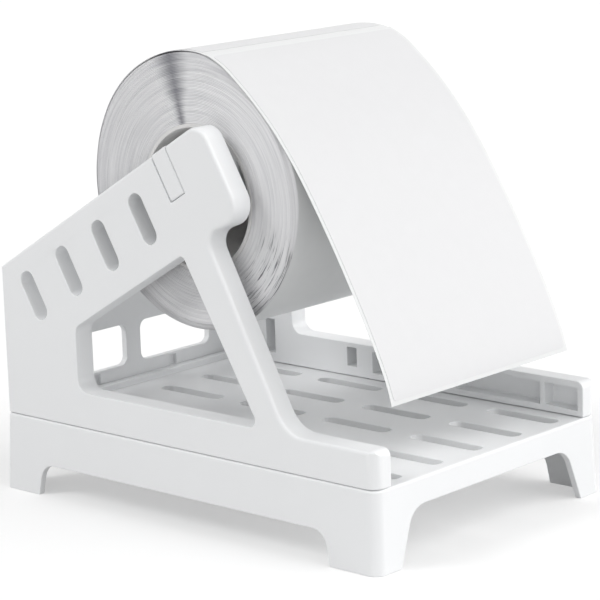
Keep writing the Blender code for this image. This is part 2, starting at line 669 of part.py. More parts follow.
def build_frame(name, side, plastic):
    """One side frame: side is -1 at the left and 1 at the right."""
    outer = side * HALF_WIDTH
    inner = side * FRAME_INNER_X
    skin = side * (HALF_WIDTH - FRAME_SKIN)
    beyond = side * OVERRUN

    def on_outer_face(edge):
        seated = edge_lies_at(edge, 2, FRAME_SEAT_Z)
        return edge_lies_at(edge, 0, outer) and not seated

    bm = prisms([rounded(frame_outline())], "X", inner, outer)
    round_edges(bm, on_outer_face, FRAME_EDGE_ROUND, 2)
    frame = make_object(name, bm, plastic)

    low = BASE_HEIGHT - OVERRUN
    high = BASE_HEIGHT + RAIL_HEIGHT + OVERRUN
    combine(frame, "DIFFERENCE", name + "_front_corner", prisms(
        [outside_front_corner(side, 0)], "Z", low, high))
    openings = [rounded(window_outline()), notch_outline()] + arm_slot_outlines()
    combine(frame, "DIFFERENCE", name + "_openings", prisms(
        openings, "X", inner - beyond, outer + beyond))

    pocket = combine(frame, "DIFFERENCE", name + "_pockets", prisms(
        [rounded(inset(frame_outline(), FRAME_WALL))], "X", inner - beyond, skin))
    combine(pocket, "DIFFERENCE", name + "_corner_wall", prisms(
        [outside_front_corner(side, FRAME_WALL)], "Z", low, high))
    for keeper, outlines in pocket_keepers().items():
        combine(pocket, "DIFFERENCE", name + "_" + keeper, prisms(
            outlines, "X", inner - 2 * beyond, outer))

    combine(frame, "DIFFERENCE", name + "_hollows_below", prisms(
        hollows_below(side), "Z", low, BASE_HEIGHT + RAIL_HEIGHT - FRAME_WALL))
    latch_low = FRAME_SEAT_Z + LATCH_SLOT_LIFT
    slots = [rounded(rectangle(
        y - LATCH_SLOT_WIDTH / 2, y + LATCH_SLOT_WIDTH / 2, latch_low, latch_low + height))
        for y, height in latches()]
    combine(frame, "DIFFERENCE", name + "_latches", prisms(
        slots, "X", inner - beyond, inner + side * LATCH_SLOT_DEPTH))
    pilots = [circle_outline(centre, SCREW_SHANK_RADIUS + SEAT_GAP, SCREW_FACETS)
              for centre in screw_places(side)]
    combine(frame, "DIFFERENCE", name + "_pilot_holes", prisms(
        pilots, "Z", low, FRAME_SEAT_Z + SCREW_GRIP + SEAT_GAP))


def build_screws(name, side, steel):
    """The row of screws that comes up through the tray into one side frame."""
    under_floor = BASE_HEIGHT - FLOOR_THICKNESS - SEAT_GAP
    tip = FRAME_SEAT_Z + SCREW_GRIP
    profile = [
        (under_floor - SCREW_HEAD_HEIGHT, 0),
        (under_floor - SCREW_HEAD_HEIGHT, (SCREW_SHANK_RADIUS + SCREW_HEAD_RADIUS) / 2),
        (under_floor - SCREW_HEAD_HEIGHT / 2, SCREW_HEAD_RADIUS),
        (under_floor, SCREW_HEAD_RADIUS),
        (under_floor, SCREW_SHANK_RADIUS),
        (tip - SCREW_TIP_LENGTH, SCREW_SHANK_RADIUS),
        (tip, 0),
    ]
    for place_name, centre in zip(("front", "middle", "rear"), screw_places(side)):
        screw = turned(profile, "Z", SCREW_FACETS)
        make_object(f"{name}_{place_name}", screw, steel, location=(*centre, 0))


# Rear panel

def build_rear_panel(plastic):
    half = FRAME_INNER_X - SEAT_GAP
    bottom = BASE_HEIGHT + SEAT_GAP
    top = bottom + PANEL_HEIGHT
    back = PANEL_FRONT_Y + PANEL_THICKNESS
    outline = [
        (Vector((-half, bottom)), 0),
        (Vector((half, bottom)), 0),
        (Vector((half, top)), PANEL_TOP_RADIUS),
        (Vector((-half, top)), PANEL_TOP_RADIUS),
    ]
    panel = make_object("rear_panel", prisms([rounded(outline)], "Y", PANEL_FRONT_Y, back), plastic)

    window_low = bottom + PANEL_WINDOW_LIFT
    latch_low = bottom + PANEL_LATCH_LIFT
    windows = []
    recesses = []
    for side in (-1, 1):
        ends = sorted((side * PANEL_POST_WIDTH / 2, side * (FRAME_INNER_X - PANEL_END_WIDTH)))
        windows.append(rounded(rectangle(
            *ends, window_low, window_low + PANEL_WINDOW_HEIGHT, PANEL_WINDOW_RADIUS)))
        latch = side * PANEL_LATCH_OFFSET
        recesses.append(rounded(rectangle(
            latch - PANEL_LATCH_WIDTH / 2, latch + PANEL_LATCH_WIDTH / 2,
            latch_low, latch_low + PANEL_LATCH_HEIGHT)))
    combine(panel, "DIFFERENCE", "panel_windows", prisms(
        windows, "Y", PANEL_FRONT_Y - OVERRUN, back + OVERRUN))
    combine(panel, "DIFFERENCE", "panel_latches", prisms(
        recesses, "Y", PANEL_FRONT_Y - OVERRUN, PANEL_FRONT_Y + PANEL_LATCH_DEPTH))

    tabs = [rounded(rectangle(
        x - PANEL_TAB_WIDTH / 2, x + PANEL_TAB_WIDTH / 2,
        BASE_HEIGHT - PANEL_TAB_DEPTH, bottom + PANEL_LATCH_LIFT)) for x in panel_tab_places()]
    combine(panel, "UNION", "panel_tabs", prisms(tabs, "Y", PANEL_FRONT_Y, back))


# Spindle

def build_spindle(plastic, pivot):
    radius = SPINDLE_DIAMETER / 2
    bore = radius - SPINDLE_WALL
    face = FRAME_INNER_X - SEAT_GAP
    cap = face - SPINDLE_HUB_LENGTH
    shoulder = cap - SPINDLE_CAP_THICKNESS
    half = shoulder - SEAT_GAP
    profile = [(-half, bore), (half, bore), (half, radius), (-half, radius)]
    make_object("spindle_drum", turned(profile, "X", ROUND_FACETS), plastic, parent=pivot)

    for name, side in (("left_spindle_end", -1), ("right_spindle_end", 1)):
        hub = SPINDLE_HUB_DIAMETER / 2
        plug = bore - SEAT_GAP
        plug_end = shoulder - SPINDLE_PLUG_LENGTH
        chamfer = SPINDLE_EDGE_ROUND
        turned_end = turned([
            (side * face, 0),
            (side * face, hub - chamfer),
            (side * (face - chamfer), hub),
            (side * cap, hub),
            (side * cap, radius - chamfer),
            (side * (cap - chamfer), radius),
            (side * shoulder, radius),
            (side * shoulder, plug),
            (side * plug_end, plug),
            (side * plug_end, plug - SPINDLE_PLUG_WALL),
            (side * (cap - SPINDLE_WALL), plug - SPINDLE_PLUG_WALL),
            (side * (cap - SPINDLE_WALL), hub - SPINDLE_WALL),
            (side * (face - SPINDLE_WALL), hub - SPINDLE_WALL),
            (side * (face - SPINDLE_WALL), 0),
        ], "X", ROUND_FACETS)
        end = make_object(name, turned_end, plastic, parent=pivot)

        outline = [UP_THE_ARM * (a * TONGUE_WIDTH / 2) + LIFT * (b * TONGUE_HEIGHT / 2)
                   for a, b in ((1, -1), (-1, -1), (-1, 1), (1, 1))]
        root = side * (face - SPINDLE_WALL / 2)
        tip = side * HALF_WIDTH
        bm = prisms([outline], "X", root, tip)
        round_edges(bm, lambda edge: edge_lies_at(edge, 0, tip), SPINDLE_EDGE_ROUND, 2)
        combine(end, "UNION", name + "_tongue", bm)


# Label roll

def slack_depth(angle):
    """Depth of the slack turns at an angle, on a smooth curve through their shares."""
    turn = math.degrees(angle) % 360
    knots = [(a - 360, s) for a, s in SLACK_SHARES[-2:]] + list(SLACK_SHARES)
    knots += [(a + 360, s) for a, s in SLACK_SHARES[:3]]
    i = max(k for k in range(1, len(knots) - 2) if knots[k][0] <= turn)
    (a0, s0), (a1, s1), (a2, s2), (a3, s3) = knots[i - 1:i + 3]
    t = (turn - a1) / (a2 - a1)
    slope1 = (s2 - s0) / (a2 - a0) * (a2 - a1)
    slope2 = (s3 - s1) / (a3 - a1) * (a2 - a1)
    share = ((2 * t ** 3 - 3 * t ** 2 + 1) * s1 + (t ** 3 - 2 * t ** 2 + t) * slope1
             + (3 * t ** 2 - 2 * t ** 3) * s2 + (t ** 3 - t ** 2) * slope2)
    return SLACK_DEPTH * share


def slack_point(angle, above=0):
    """A point on the roll's outside, seen from the roll's axis, or a distance above it."""
    radius = TIGHT_ROLL_RADIUS + SEAT_GAP + slack_depth(angle) + above
    return radius * Vector((math.cos(angle), math.sin(angle)))


def ring_points(radius):
    return circle_outline(Vector((0, 0)), radius, ROLL_FACETS)


def leader_path(above):
    """The free leader: over the front of the roll, then down in one slow curve."""
    steps = round((LEAVE_ANGLE - GAP_ANGLE) * ROLL_FACETS / (2 * math.pi))
    hug = [slack_point(angle, above) for angle in spread(GAP_ANGLE, LEAVE_ANGLE, steps + 1)]
    start = hug[-1]
    leave = (hug[-1] - hug[-2]).normalized()
    drop = Vector((-math.sin(LEADER_END_SLOPE), -math.cos(LEADER_END_SLOPE)))
    out = Vector((-drop.y, drop.x)) * -above
    end = Vector((-HALF_LENGTH + LEADER_SETBACK, BASE_HEIGHT + LEADER_END_HEIGHT))
    end = end - ROLL_CENTRE + out
    handle1 = start + leave * LEADER_START_HANDLE
    handle2 = end - drop * LEADER_END_HANDLE
    free = []
    for i in range(1, LEADER_STEPS + 1):
        t = i / LEADER_STEPS
        free.append(start * (1 - t) ** 3 + handle1 * (3 * t * (1 - t) ** 2)
                    + handle2 * (3 * t ** 2 * (1 - t)) + end * t ** 3)
    return hug + free


def shifted(path, distance):
    """A path moved sideways, to the outside of the roll."""
    moved = []
    for i, point in enumerate(path):
        tangent = (path[min(i + 1, len(path) - 1)] - path[max(i - 1, 0)]).normalized()
        moved.append(point + Vector((tangent.y, -tangent.x)) * distance)
    return moved


def trimmed(path, start, end):
    """A path without its first and last stretch."""
    result = list(path)
    for cut in (start, end):
        left = cut
        while left > (result[1] - result[0]).length:
            left -= (result[1] - result[0]).length
            result.pop(0)
        result[0] = result[0].lerp(result[1], left / (result[1] - result[0]).length)
        result.reverse()
    return result


def build_label_roll(card, paper, liner, pivot, roll_pivot):
    half = LINER_WIDTH / 2
    core_bore = CORE_BORE_DIAMETER / 2
    core_outside = core_bore + CORE_WALL
    tight = TIGHT_ROLL_RADIUS
    offset = ROLL_CENTRE - SPINDLE_CENTRE
    slack_place = (0, offset.x, offset.y)

    bm = bmesh.new()
    band(bm, ring_points(core_bore), ring_points(core_outside), "X", -half, half, True)
    make_object("label_core", bm, card, parent=roll_pivot)

    bm = bmesh.new()
    band(bm, ring_points(core_outside + SEAT_GAP), ring_points(tight), "X", -half, half, True)
    make_object("wound_labels", bm, paper, parent=roll_pivot)

    step = 2 * math.pi / ROLL_FACETS
    bm = bmesh.new()
    outside = [slack_point(step * i) for i in range(ROLL_FACETS)]
    band(bm, ring_points(tight + SEAT_GAP), outside, "X", -half, half, True)
    make_object("slack_turns", bm, paper, parent=pivot, location=slack_place)

    path = leader_path(PAPER_GAP)
    bm = bmesh.new()
    band(bm, path, shifted(path, PAPER_THICKNESS), "X", -half, half, False)
    make_object("leader_liner", bm, liner, parent=pivot, location=slack_place)

    label_half = half - LINER_MARGIN
    on_liner = shifted(path, PAPER_THICKNESS + PAPER_GAP)
    length = sum((b - a).length for a, b in zip(on_liner, on_liner[1:]))
    on_liner = trimmed(on_liner, length - LEADER_END_MARGIN - LABEL_LENGTH, LEADER_END_MARGIN)
    bm = bmesh.new()
    band(bm, on_liner, shifted(on_liner, PAPER_THICKNESS), "X", -label_half, label_half, False)
    make_object("leader_label", bm, paper, parent=pivot, location=slack_place)

    last = GAP_ANGLE - (LABEL_PITCH_GAP + PAPER_GAP) / (tight + SLACK_DEPTH)
    count = math.floor(LABEL_LENGTH / ((tight + SLACK_DEPTH) * step))
    on_roll = [slack_point(last - step * (count - i), PAPER_GAP) for i in range(count + 1)]
    bm = bmesh.new()
    band(bm, on_roll, shifted(on_roll, PAPER_THICKNESS), "X", -label_half, label_half, False)
    make_object("roll_label", bm, paper, parent=pivot, location=slack_place)


def build():
    for obj in list(bpy.data.objects):
        bpy.data.objects.remove(obj, do_unlink=True)

    plastic = make_material("white ABS", (0.86, 0.87, 0.88), 0.38)
    card = make_material("grey core board", (0.42, 0.40, 0.37), 0.9)
    paper = make_material("coated label paper", (0.90, 0.90, 0.91), 0.45)
    liner = make_material("glassine liner", (0.84, 0.85, 0.84), 0.35)
    steel = make_material("zinc plated steel", (0.62, 0.62, 0.63), 0.35, 1.0)

    build_base(plastic)
    build_frame("left_side_frame", -1, plastic)
    build_frame("right_side_frame", 1, plastic)
    build_screws("left_frame_screw", -1, steel)
    build_screws("right_frame_screw", 1, steel)
    build_rear_panel(plastic)

    spindle_pivot = make_empty("spindle_axis", (0, *SPINDLE_CENTRE))
    offset = ROLL_CENTRE - SPINDLE_CENTRE
    roll_pivot = make_empty("roll_axis", (0, *offset), parent=spindle_pivot)
    build_spindle(plastic, spindle_pivot)
    build_label_roll(card, paper, liner, spindle_pivot, roll_pivot)


build()
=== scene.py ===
# %% [markdown]
# # Label roll holder
# The holder is a white moulded stand: a tray on four feet, two side frames and a rear panel. A
# spindle lies across the frames in two open notches and carries a roll of four inch labels. The
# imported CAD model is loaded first, because it fixes where everything is. Each piece below is
# built in the same frame, in metres, and rides on the CAD body that carries it.

# %% Load the frame
import json
import math

import bmesh
import bpy
from mathutils import Matrix, Vector, noise


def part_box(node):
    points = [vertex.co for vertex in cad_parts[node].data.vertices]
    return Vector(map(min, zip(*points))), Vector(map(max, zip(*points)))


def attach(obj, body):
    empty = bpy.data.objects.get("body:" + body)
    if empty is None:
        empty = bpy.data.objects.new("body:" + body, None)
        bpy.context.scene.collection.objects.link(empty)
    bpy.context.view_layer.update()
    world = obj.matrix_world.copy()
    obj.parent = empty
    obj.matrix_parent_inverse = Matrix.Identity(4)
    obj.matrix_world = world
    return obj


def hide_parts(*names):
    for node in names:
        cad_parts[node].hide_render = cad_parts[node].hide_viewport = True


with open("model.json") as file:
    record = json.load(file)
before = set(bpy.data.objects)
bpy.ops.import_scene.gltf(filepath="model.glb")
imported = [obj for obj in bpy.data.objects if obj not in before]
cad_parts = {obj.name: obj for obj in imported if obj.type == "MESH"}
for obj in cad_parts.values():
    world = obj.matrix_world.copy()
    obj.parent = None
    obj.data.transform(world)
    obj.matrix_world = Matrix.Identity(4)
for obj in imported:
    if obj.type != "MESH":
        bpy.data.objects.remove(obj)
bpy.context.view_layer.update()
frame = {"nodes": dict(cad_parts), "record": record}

MM = 0.001

# %% [markdown]
# ## Camera
# The picture was taken from the left front, a little above the object, with a long lens. A
# camera can be aimed by eye, but here its yaw, pitch, roll and distance were fitted to the
# corners of the stand, so the matrix is built from those few values.

# %% Camera
CAMERA_YAW = math.radians(47.67)
CAMERA_PITCH = math.radians(12.15)
CAMERA_ROLL = math.radians(-1.83)
CAMERA_DISTANCE = 991.51 * MM
CAMERA_TARGET = Vector((0, 0, 60 * MM))
TARGET_RIGHT = -1.84 * MM  # where the target lies from the middle of the picture
TARGET_UP = -15.93 * MM
SENSOR_WIDTH = 36.0
LENS = 152.5

ahead = Vector((math.sin(CAMERA_YAW) * math.cos(CAMERA_PITCH),
                math.cos(CAMERA_YAW) * math.cos(CAMERA_PITCH),
                -math.sin(CAMERA_PITCH)))
level = Vector((math.cos(CAMERA_YAW), -math.sin(CAMERA_YAW), 0))
above = level.cross(ahead)
right = level * math.cos(CAMERA_ROLL) + above * math.sin(CAMERA_ROLL)
up = above * math.cos(CAMERA_ROLL) - level * math.sin(CAMERA_ROLL)

camera_data = bpy.data.cameras.new("camera")
camera_data.sensor_width = SENSOR_WIDTH
camera_data.lens = LENS
camera = bpy.data.objects.new("camera", camera_data)
bpy.context.scene.collection.objects.link(camera)
place = CAMERA_TARGET - ahead * CAMERA_DISTANCE - right * TARGET_RIGHT - up * TARGET_UP
camera.matrix_world = Matrix.Translation(place) @ Matrix((right, up, -ahead)).transposed().to_4x4()
bpy.context.scene.camera = camera
print("camera at", [round(c, 4) for c in place])

# %% [markdown]
# ## Colours and nodes
# Colours are easiest to read as the hex values of a picture, but shaders count in linear light,
# so one function turns them. Node trees are long to write by hand, so one more function adds a
# node with its settings, its values and its links in a single call.

# %% Helpers for materials
FIRST, SECOND, MIXED = 6, 7, 2  # a Mix node's sockets for colours: two inputs and the output


def linear(hex_colour):
    """An sRGB hex colour as linear red, green, blue and alpha."""
    values = [int(hex_colour[i:i + 2], 16) / 255 for i in (1, 3, 5)]
    return (*(v / 12.92 if v <= 0.04045 else ((v + 0.055) / 1.055) ** 2.4 for v in values), 1.0)


def add(tree, kind, values=None, links=None, **settings):
    """Adds a node. Its inputs are named in values and links by their name or number."""
    node = tree.nodes.new(kind)
    for key, value in settings.items():
        setattr(node, key, value)
    for key, value in (values or {}).items():
        node.inputs[key].default_value = value
    for key, socket in (links or {}).items():
        tree.links.new(socket, node.inputs[key])
    return node


def new_material(name, values):
    """A material with its Principled shader's plain values set."""
    material = bpy.data.materials.new(name)
    material.use_nodes = True
    shader = material.node_tree.nodes["Principled BSDF"]
    for key, value in values.items():
        shader.inputs[key].default_value = value
    return material, material.node_tree, shader


print("#808080 is", round(linear("#808080")[0], 3), "in linear light")

# %% [markdown]
# ## Room
# The object was pictured in a white studio, whose walls send back a soft light from everywhere. A
# plain white world does the same. At full strength it would wash the shadows out, so it lights
# the object with less than half of that, and Light Path lets the camera and reflections still see
# pure white.

# %% The white room
ROOM_FILL = 0.41  # how strongly the room lights the object
WHITE = linear("#FFFFFF")


def seen_directly(tree):
    """1 on rays from the camera, off gloss or through glass, and 0 on rays that gather light."""
    light_path = add(tree, "ShaderNodeLightPath")
    seen = light_path.outputs["Is Camera Ray"]
    for ray in ("Is Glossy Ray", "Is Transmission Ray"):
        seen = add(tree, "ShaderNodeMath", links={0: seen, 1: light_path.outputs[ray]},
                   operation="MAXIMUM").outputs[0]
    return seen


world = bpy.data.worlds.new("white_room")
bpy.context.scene.world = world
world.use_nodes = True
tree = world.node_tree
tree.nodes.clear()
strength = add(tree, "ShaderNodeMapRange", values={"To Min": ROOM_FILL, "To Max": 1.0},
               links={"Value": seen_directly(tree)})
room = add(tree, "ShaderNodeBackground", values={"Color": WHITE},
           links={"Strength": strength.outputs["Result"]})
add(tree, "ShaderNodeOutputWorld", links={"Surface": room.outputs[0]})
bpy.context.scene.view_settings.view_transform = "Standard"
print("room fill", ROOM_FILL)

# %% [markdown]
# ## Table
# Small goods often stand on a glowing white table, so that only their soft shadow shows. More
# lamps would whiten the floor too, but the object with it. Instead the floor is pale paper with a
# glow that only the camera and reflections see, so it adds no light.

# %% The white table
FLOOR_COLOUR = "#D4D4D4"
TABLE_GLOW = 0.38  # white that only the camera and reflections see
FLOOR_SIZE = 12.0

floor_material = bpy.data.materials.new("white paper sweep")
floor_material.use_nodes = True
tree = floor_material.node_tree
tree.nodes.clear()
paper = add(tree, "ShaderNodeBsdfDiffuse", values={"Color": linear(FLOOR_COLOUR)})
lift = add(tree, "ShaderNodeMath", values={1: TABLE_GLOW}, links={0: seen_directly(tree)},
           operation="MULTIPLY")
glow = add(tree, "ShaderNodeEmission", values={"Color": WHITE},
           links={"Strength": lift.outputs[0]})
both = add(tree, "ShaderNodeAddShader", links={0: paper.outputs[0], 1: glow.outputs[0]})
add(tree, "ShaderNodeOutputMaterial", links={"Surface": both.outputs[0]})

bm = bmesh.new()
bmesh.ops.create_grid(bm, x_segments=1, y_segments=1, size=FLOOR_SIZE / 2)
floor_mesh = bpy.data.meshes.new("floor")
bm.to_mesh(floor_mesh)
bm.free()
floor_mesh.materials.append(floor_material)
floor = bpy.data.objects.new("floor", floor_mesh)
bpy.context.scene.collection.objects.link(floor)
print("floor", FLOOR_SIZE, "m wide")

# %% [markdown]
# ## Lamps
# One soft light from the left and behind leaves the near sides a little grey and throws the
# head's shadow on the roll. Three wider ones light the faces, the front and the space under the
# leader. Area lamps close by would light some places more than others, so these are sun lamps
# with a wide angle, which are as soft and light every place alike.

# %% Lamps
LAMPS = (  # name, where the light comes from, strength, how wide it is in degrees
    ("side_light", (-0.62, 0.38, 0.69), 1.00, 25),
    ("face_light", (-0.75, -0.62, 0.22), 0.42, 60),
    ("front_light", (0.25, -0.75, 0.61), 1.60, 60),
    ("low_light", (0.93, -0.35, 0.08), 1.00, 45),
)

for name, comes_from, strength, width in LAMPS:
    lamp_data = bpy.data.lights.new(name, "SUN")
    lamp_data.energy = strength
    lamp_data.angle = math.radians(width)
    lamp = bpy.data.objects.new(name, lamp_data)
    lamp.rotation_euler = Vector(comes_from).to_track_quat("Z", "Y").to_euler()
    bpy.context.scene.collection.objects.link(lamp)
print(len(LAMPS), "lamps")

# %% [markdown]
# ## White ABS
# The stand is injection moulded ABS: an opaque white plastic with a satin skin from a finely
# spark eroded mould. Its IOR is about 1.54. The skin's grain is some 0.1 mm, too fine to show
# here, so it is drawn at 0.45 mm and very shallow. Slow changes in gloss come from the flow of
# the plastic, so roughness varies a little over centimetres.

# %% White ABS
GRAIN_SIZE = 0.45 * MM
GRAIN_HEIGHT = 0.012 * MM
FLOW_SIZE = 28 * MM

white_abs, tree, shader = new_material("satin moulded white ABS", {"IOR": 1.54})
where = add(tree, "ShaderNodeTexCoord")
flow = add(tree, "ShaderNodeTexNoise", values={"Scale": 1 / FLOW_SIZE, "Detail": 2.0},
           links={"Vector": where.outputs["Object"]})
gloss = add(tree, "ShaderNodeMapRange", values={"To Min": 0.36, "To Max": 0.46},
            links={"Value": flow.outputs[0]})
tree.links.new(gloss.outputs["Result"], shader.inputs["Roughness"])
tint = add(tree, "ShaderNodeMix", values={FIRST: linear("#F1F2F3"), SECOND: linear("#F4F5F6")},
           links={0: flow.outputs[0]}, data_type="RGBA")
tree.links.new(tint.outputs[MIXED], shader.inputs["Base Color"])
grain = add(tree, "ShaderNodeTexNoise", values={"Scale": 1 / GRAIN_SIZE, "Detail": 3.0},
            links={"Vector": where.outputs["Object"]})
bump = add(tree, "ShaderNodeBump", values={"Strength": 0.6, "Distance": GRAIN_HEIGHT},
           links={"Height": grain.outputs[0]})
tree.links.new(bump.outputs["Normal"], shader.inputs["Normal"])
print(white_abs.name, "with a grain of", GRAIN_SIZE / MM, "mm")

# %% [markdown]
# ## Label paper
# The labels are coated white paper, calendered smooth, so they have a soft sheen. Fibres under
# the coating leave a faint cloudiness a few millimetres across.

# %% Coated label paper
FIBRE_SIZE = 0.35 * MM
FIBRE_HEIGHT = 0.01 * MM
CLOUD_SIZE = 6 * MM

label_paper, tree, shader = new_material("coated label paper", {"IOR": 1.5})
where = add(tree, "ShaderNodeTexCoord")
cloud = add(tree, "ShaderNodeTexNoise", values={"Scale": 1 / CLOUD_SIZE, "Detail": 4.0},
            links={"Vector": where.outputs["Object"]})
tint = add(tree, "ShaderNodeMix", values={FIRST: linear("#DCDCDD"), SECOND: linear("#DFDFE0")},
           links={0: cloud.outputs[0]}, data_type="RGBA")
tree.links.new(tint.outputs[MIXED], shader.inputs["Base Color"])
gloss = add(tree, "ShaderNodeMapRange", values={"To Min": 0.38, "To Max": 0.48},
            links={"Value": cloud.outputs[0]})
tree.links.new(gloss.outputs["Result"], shader.inputs["Roughness"])
fibres = add(tree, "ShaderNodeTexNoise", values={"Scale": 1 / FIBRE_SIZE, "Detail": 3.0},
             links={"Vector": where.outputs["Object"]})
bump = add(tree, "ShaderNodeBump", values={"Strength": 0.4, "Distance": FIBRE_HEIGHT},
           links={"Height": fibres.outputs[0]})
tree.links.new(bump.outputs["Normal"], shader.inputs["Normal"])
print(label_paper.name, "with clouds of", CLOUD_SIZE / MM, "mm")

# %% [markdown]
# ## Glassine liner
# The backing is glassine: dense paper pressed between rollers until it is smooth, with a silicone
# film that lets the labels come off. Thin paper like this lets a little light through, but here
# it lies on a hundred more turns or under a label, so an opaque shader will do. It is shinier
# than the labels.

# %% Glassine liner
liner_paper, tree, shader = new_material("siliconised glassine liner", {"IOR": 1.46})
where = add(tree, "ShaderNodeTexCoord")
cloud = add(tree, "ShaderNodeTexNoise", values={"Scale": 1 / CLOUD_SIZE, "Detail": 5.0},
            links={"Vector": where.outputs["Object"]})
tint = add(tree, "ShaderNodeMix", values={FIRST: linear("#E0E1E1"), SECOND: linear("#E5E6E6")},
           links={0: cloud.outputs[0]}, data_type="RGBA")
tree.links.new(tint.outputs[MIXED], shader.inputs["Base Color"])
gloss = add(tree, "ShaderNodeMapRange", values={"To Min": 0.26, "To Max": 0.34},
            links={"Value": cloud.outputs[0]})
tree.links.new(gloss.outputs["Result"], shader.inputs["Roughness"])
print(liner_paper.name, "with clouds of", CLOUD_SIZE / MM, "mm")

# %% [markdown]
# ## Edges of the wound paper
# The side of the roll is the cut edge of some hundred and fifty turns. Liner and label take
# turns in it, so it is ringed light and grey, and dust and shadow lie in the looser gaps. The
# turns are 0.15 mm apart, too fine to show, so the rings are drawn 0.7 mm apart. A noise that
# reads the distance from the roll's axis makes them, with a little of the direction added, so
# that no ring is the same all the way round.

# %% Rings round the roll
joints = {joint["name"]: joint for joint in frame["record"]["behaviour"]["joints"]}
ROLL_CENTRE = Vector(joints["roll_spin"]["pos_m"])


def round_the_roll(tree):
    """The way out from the roll's axis, its length, and its direction, on Object coordinates."""
    where = add(tree, "ShaderNodeTexCoord")
    centred = add(tree, "ShaderNodeMapping", values={"Location": -ROLL_CENTRE},
                  links={"Vector": where.outputs["Object"]})
    out = add(tree, "ShaderNodeVectorMath", values={1: (0, 1, 1)},
              links={0: centred.outputs[0]}, operation="MULTIPLY")
    radius = add(tree, "ShaderNodeVectorMath", links={0: out.outputs[0]}, operation="LENGTH")
    towards = add(tree, "ShaderNodeVectorMath", links={0: out.outputs[0]}, operation="NORMALIZE")
    return out.outputs[0], radius.outputs["Value"], towards.outputs[0]


def ring_noise(tree, radius, towards, pitch, lobes, detail):
    """Noise that runs along rings, with a pitch across them and a number of changes round them."""
    across = add(tree, "ShaderNodeMath", values={1: 1 / pitch}, links={0: radius},
                 operation="MULTIPLY")
    across = add(tree, "ShaderNodeCombineXYZ", links={0: across.outputs[0]})
    place = add(tree, "ShaderNodeVectorMath", values={1: (lobes,) * 3},
                links={0: towards, 2: across.outputs[0]}, operation="MULTIPLY_ADD")
    return add(tree, "ShaderNodeTexNoise", values={"Scale": 1.0, "Detail": detail},
               links={"Vector": place.outputs[0]}).outputs[0]


def direction(angle):
    """The direction of an angle round the roll, counted from the rear over the top."""
    return 0, math.cos(angle), math.sin(angle)


print("roll's axis at", [round(c / MM, 2) for c in ROLL_CENTRE], "mm")

# %% [markdown]
# ## Grey streak
# On the side of the roll a grey streak runs from the core to the outside, wider as it goes,
# and a little different on each turn. It could be painted by hand, but worked out from the
# distance and the direction it needs no picture. Smooth steps give it soft ends, and the ring
# noise makes it ragged.

# %% The grey streak
STREAK_ANGLE = math.radians(77.5)
STREAK_RADII = (27 * MM, 56 * MM)  # at the core and at the outside
STREAK_HALF_WIDTHS = (2.6 * MM, 9.5 * MM)  # at the same two radii
STREAK_FADE = (0.35, 1.75)  # shares of the half width between which the streak fades
STREAK_STRENGTH = 0.8
STREAK_TURN = 0.45 * MM  # across the turns that show it alike
STREAK_RAGGEDNESS = 1.2
STREAK_FACING = (0.5, 0.8)  # cosines that keep it off the other side of the roll


def grey_streak(tree, out, radius, towards):
    """A grey streak, wide at the outside and narrow at the core, and ragged from turn to turn."""
    aside = add(tree, "ShaderNodeVectorMath", values={1: direction(STREAK_ANGLE + math.pi / 2)},
                links={0: out}, operation="DOT_PRODUCT")
    aside = add(tree, "ShaderNodeMath", links={0: aside.outputs["Value"]}, operation="ABSOLUTE")
    half_width = add(tree, "ShaderNodeMapRange", interpolation_type="SMOOTHSTEP",
                     values={"From Min": STREAK_RADII[0], "From Max": STREAK_RADII[1],
                             "To Min": STREAK_HALF_WIDTHS[0], "To Max": STREAK_HALF_WIDTHS[1]},
                     links={"Value": radius})
    share = add(tree, "ShaderNodeMath", operation="DIVIDE",
                links={0: aside.outputs[0], 1: half_width.outputs["Result"]})
    turns = ring_noise(tree, radius, towards, STREAK_TURN, lobes=0.5, detail=2.0)
    share = add(tree, "ShaderNodeMath", values={1: STREAK_RAGGEDNESS}, operation="MULTIPLY_ADD",
                links={0: turns, 2: share.outputs[0]})
    inside = add(tree, "ShaderNodeMapRange", interpolation_type="SMOOTHSTEP",
                 values={"From Min": STREAK_FADE[0], "From Max": STREAK_FADE[1],
                         "To Min": STREAK_STRENGTH, "To Max": 0.0},
                 links={"Value": share.outputs[0]})
    facing = add(tree, "ShaderNodeVectorMath", values={1: direction(STREAK_ANGLE)},
                 links={0: towards}, operation="DOT_PRODUCT")
    near = add(tree, "ShaderNodeMapRange", interpolation_type="SMOOTHSTEP",
               values={"From Min": STREAK_FACING[0], "From Max": STREAK_FACING[1]},
               links={"Value": facing.outputs["Value"]})
    return add(tree, "ShaderNodeMath", operation="MULTIPLY",
               links={0: inside.outputs["Result"], 1: near.outputs["Result"]}).outputs[0]


print("stain at", round(math.degrees(STREAK_ANGLE), 1), "degrees")

# %% [markdown]
# ## Shade in the gaps
# Low on the side of the roll some turns stand apart, and shade falls into the gaps between them.
# Cut into the mesh the gaps would need very many faces, so their shade is painted: a finer ring
# noise is dark where it is high, in one sector and away from the core.

# %% Painted shade in the gaps
GAP_SHADE_ANGLE = math.radians(220)
GAP_SHADE_WIDTH = math.radians(34)
GAP_SHADE_RADII = (31 * MM, 39 * MM)  # where the gaps begin and where they are at their darkest
GAP_SHADE_PITCH = 0.42 * MM
GAP_SHADE_LOBES = 4.0  # so that a gap runs only a short way round
GAP_SHADE_NOISE = (0.55, 0.68)  # from no gap to a full one
GAP_SHADE_STRENGTH = 0.85


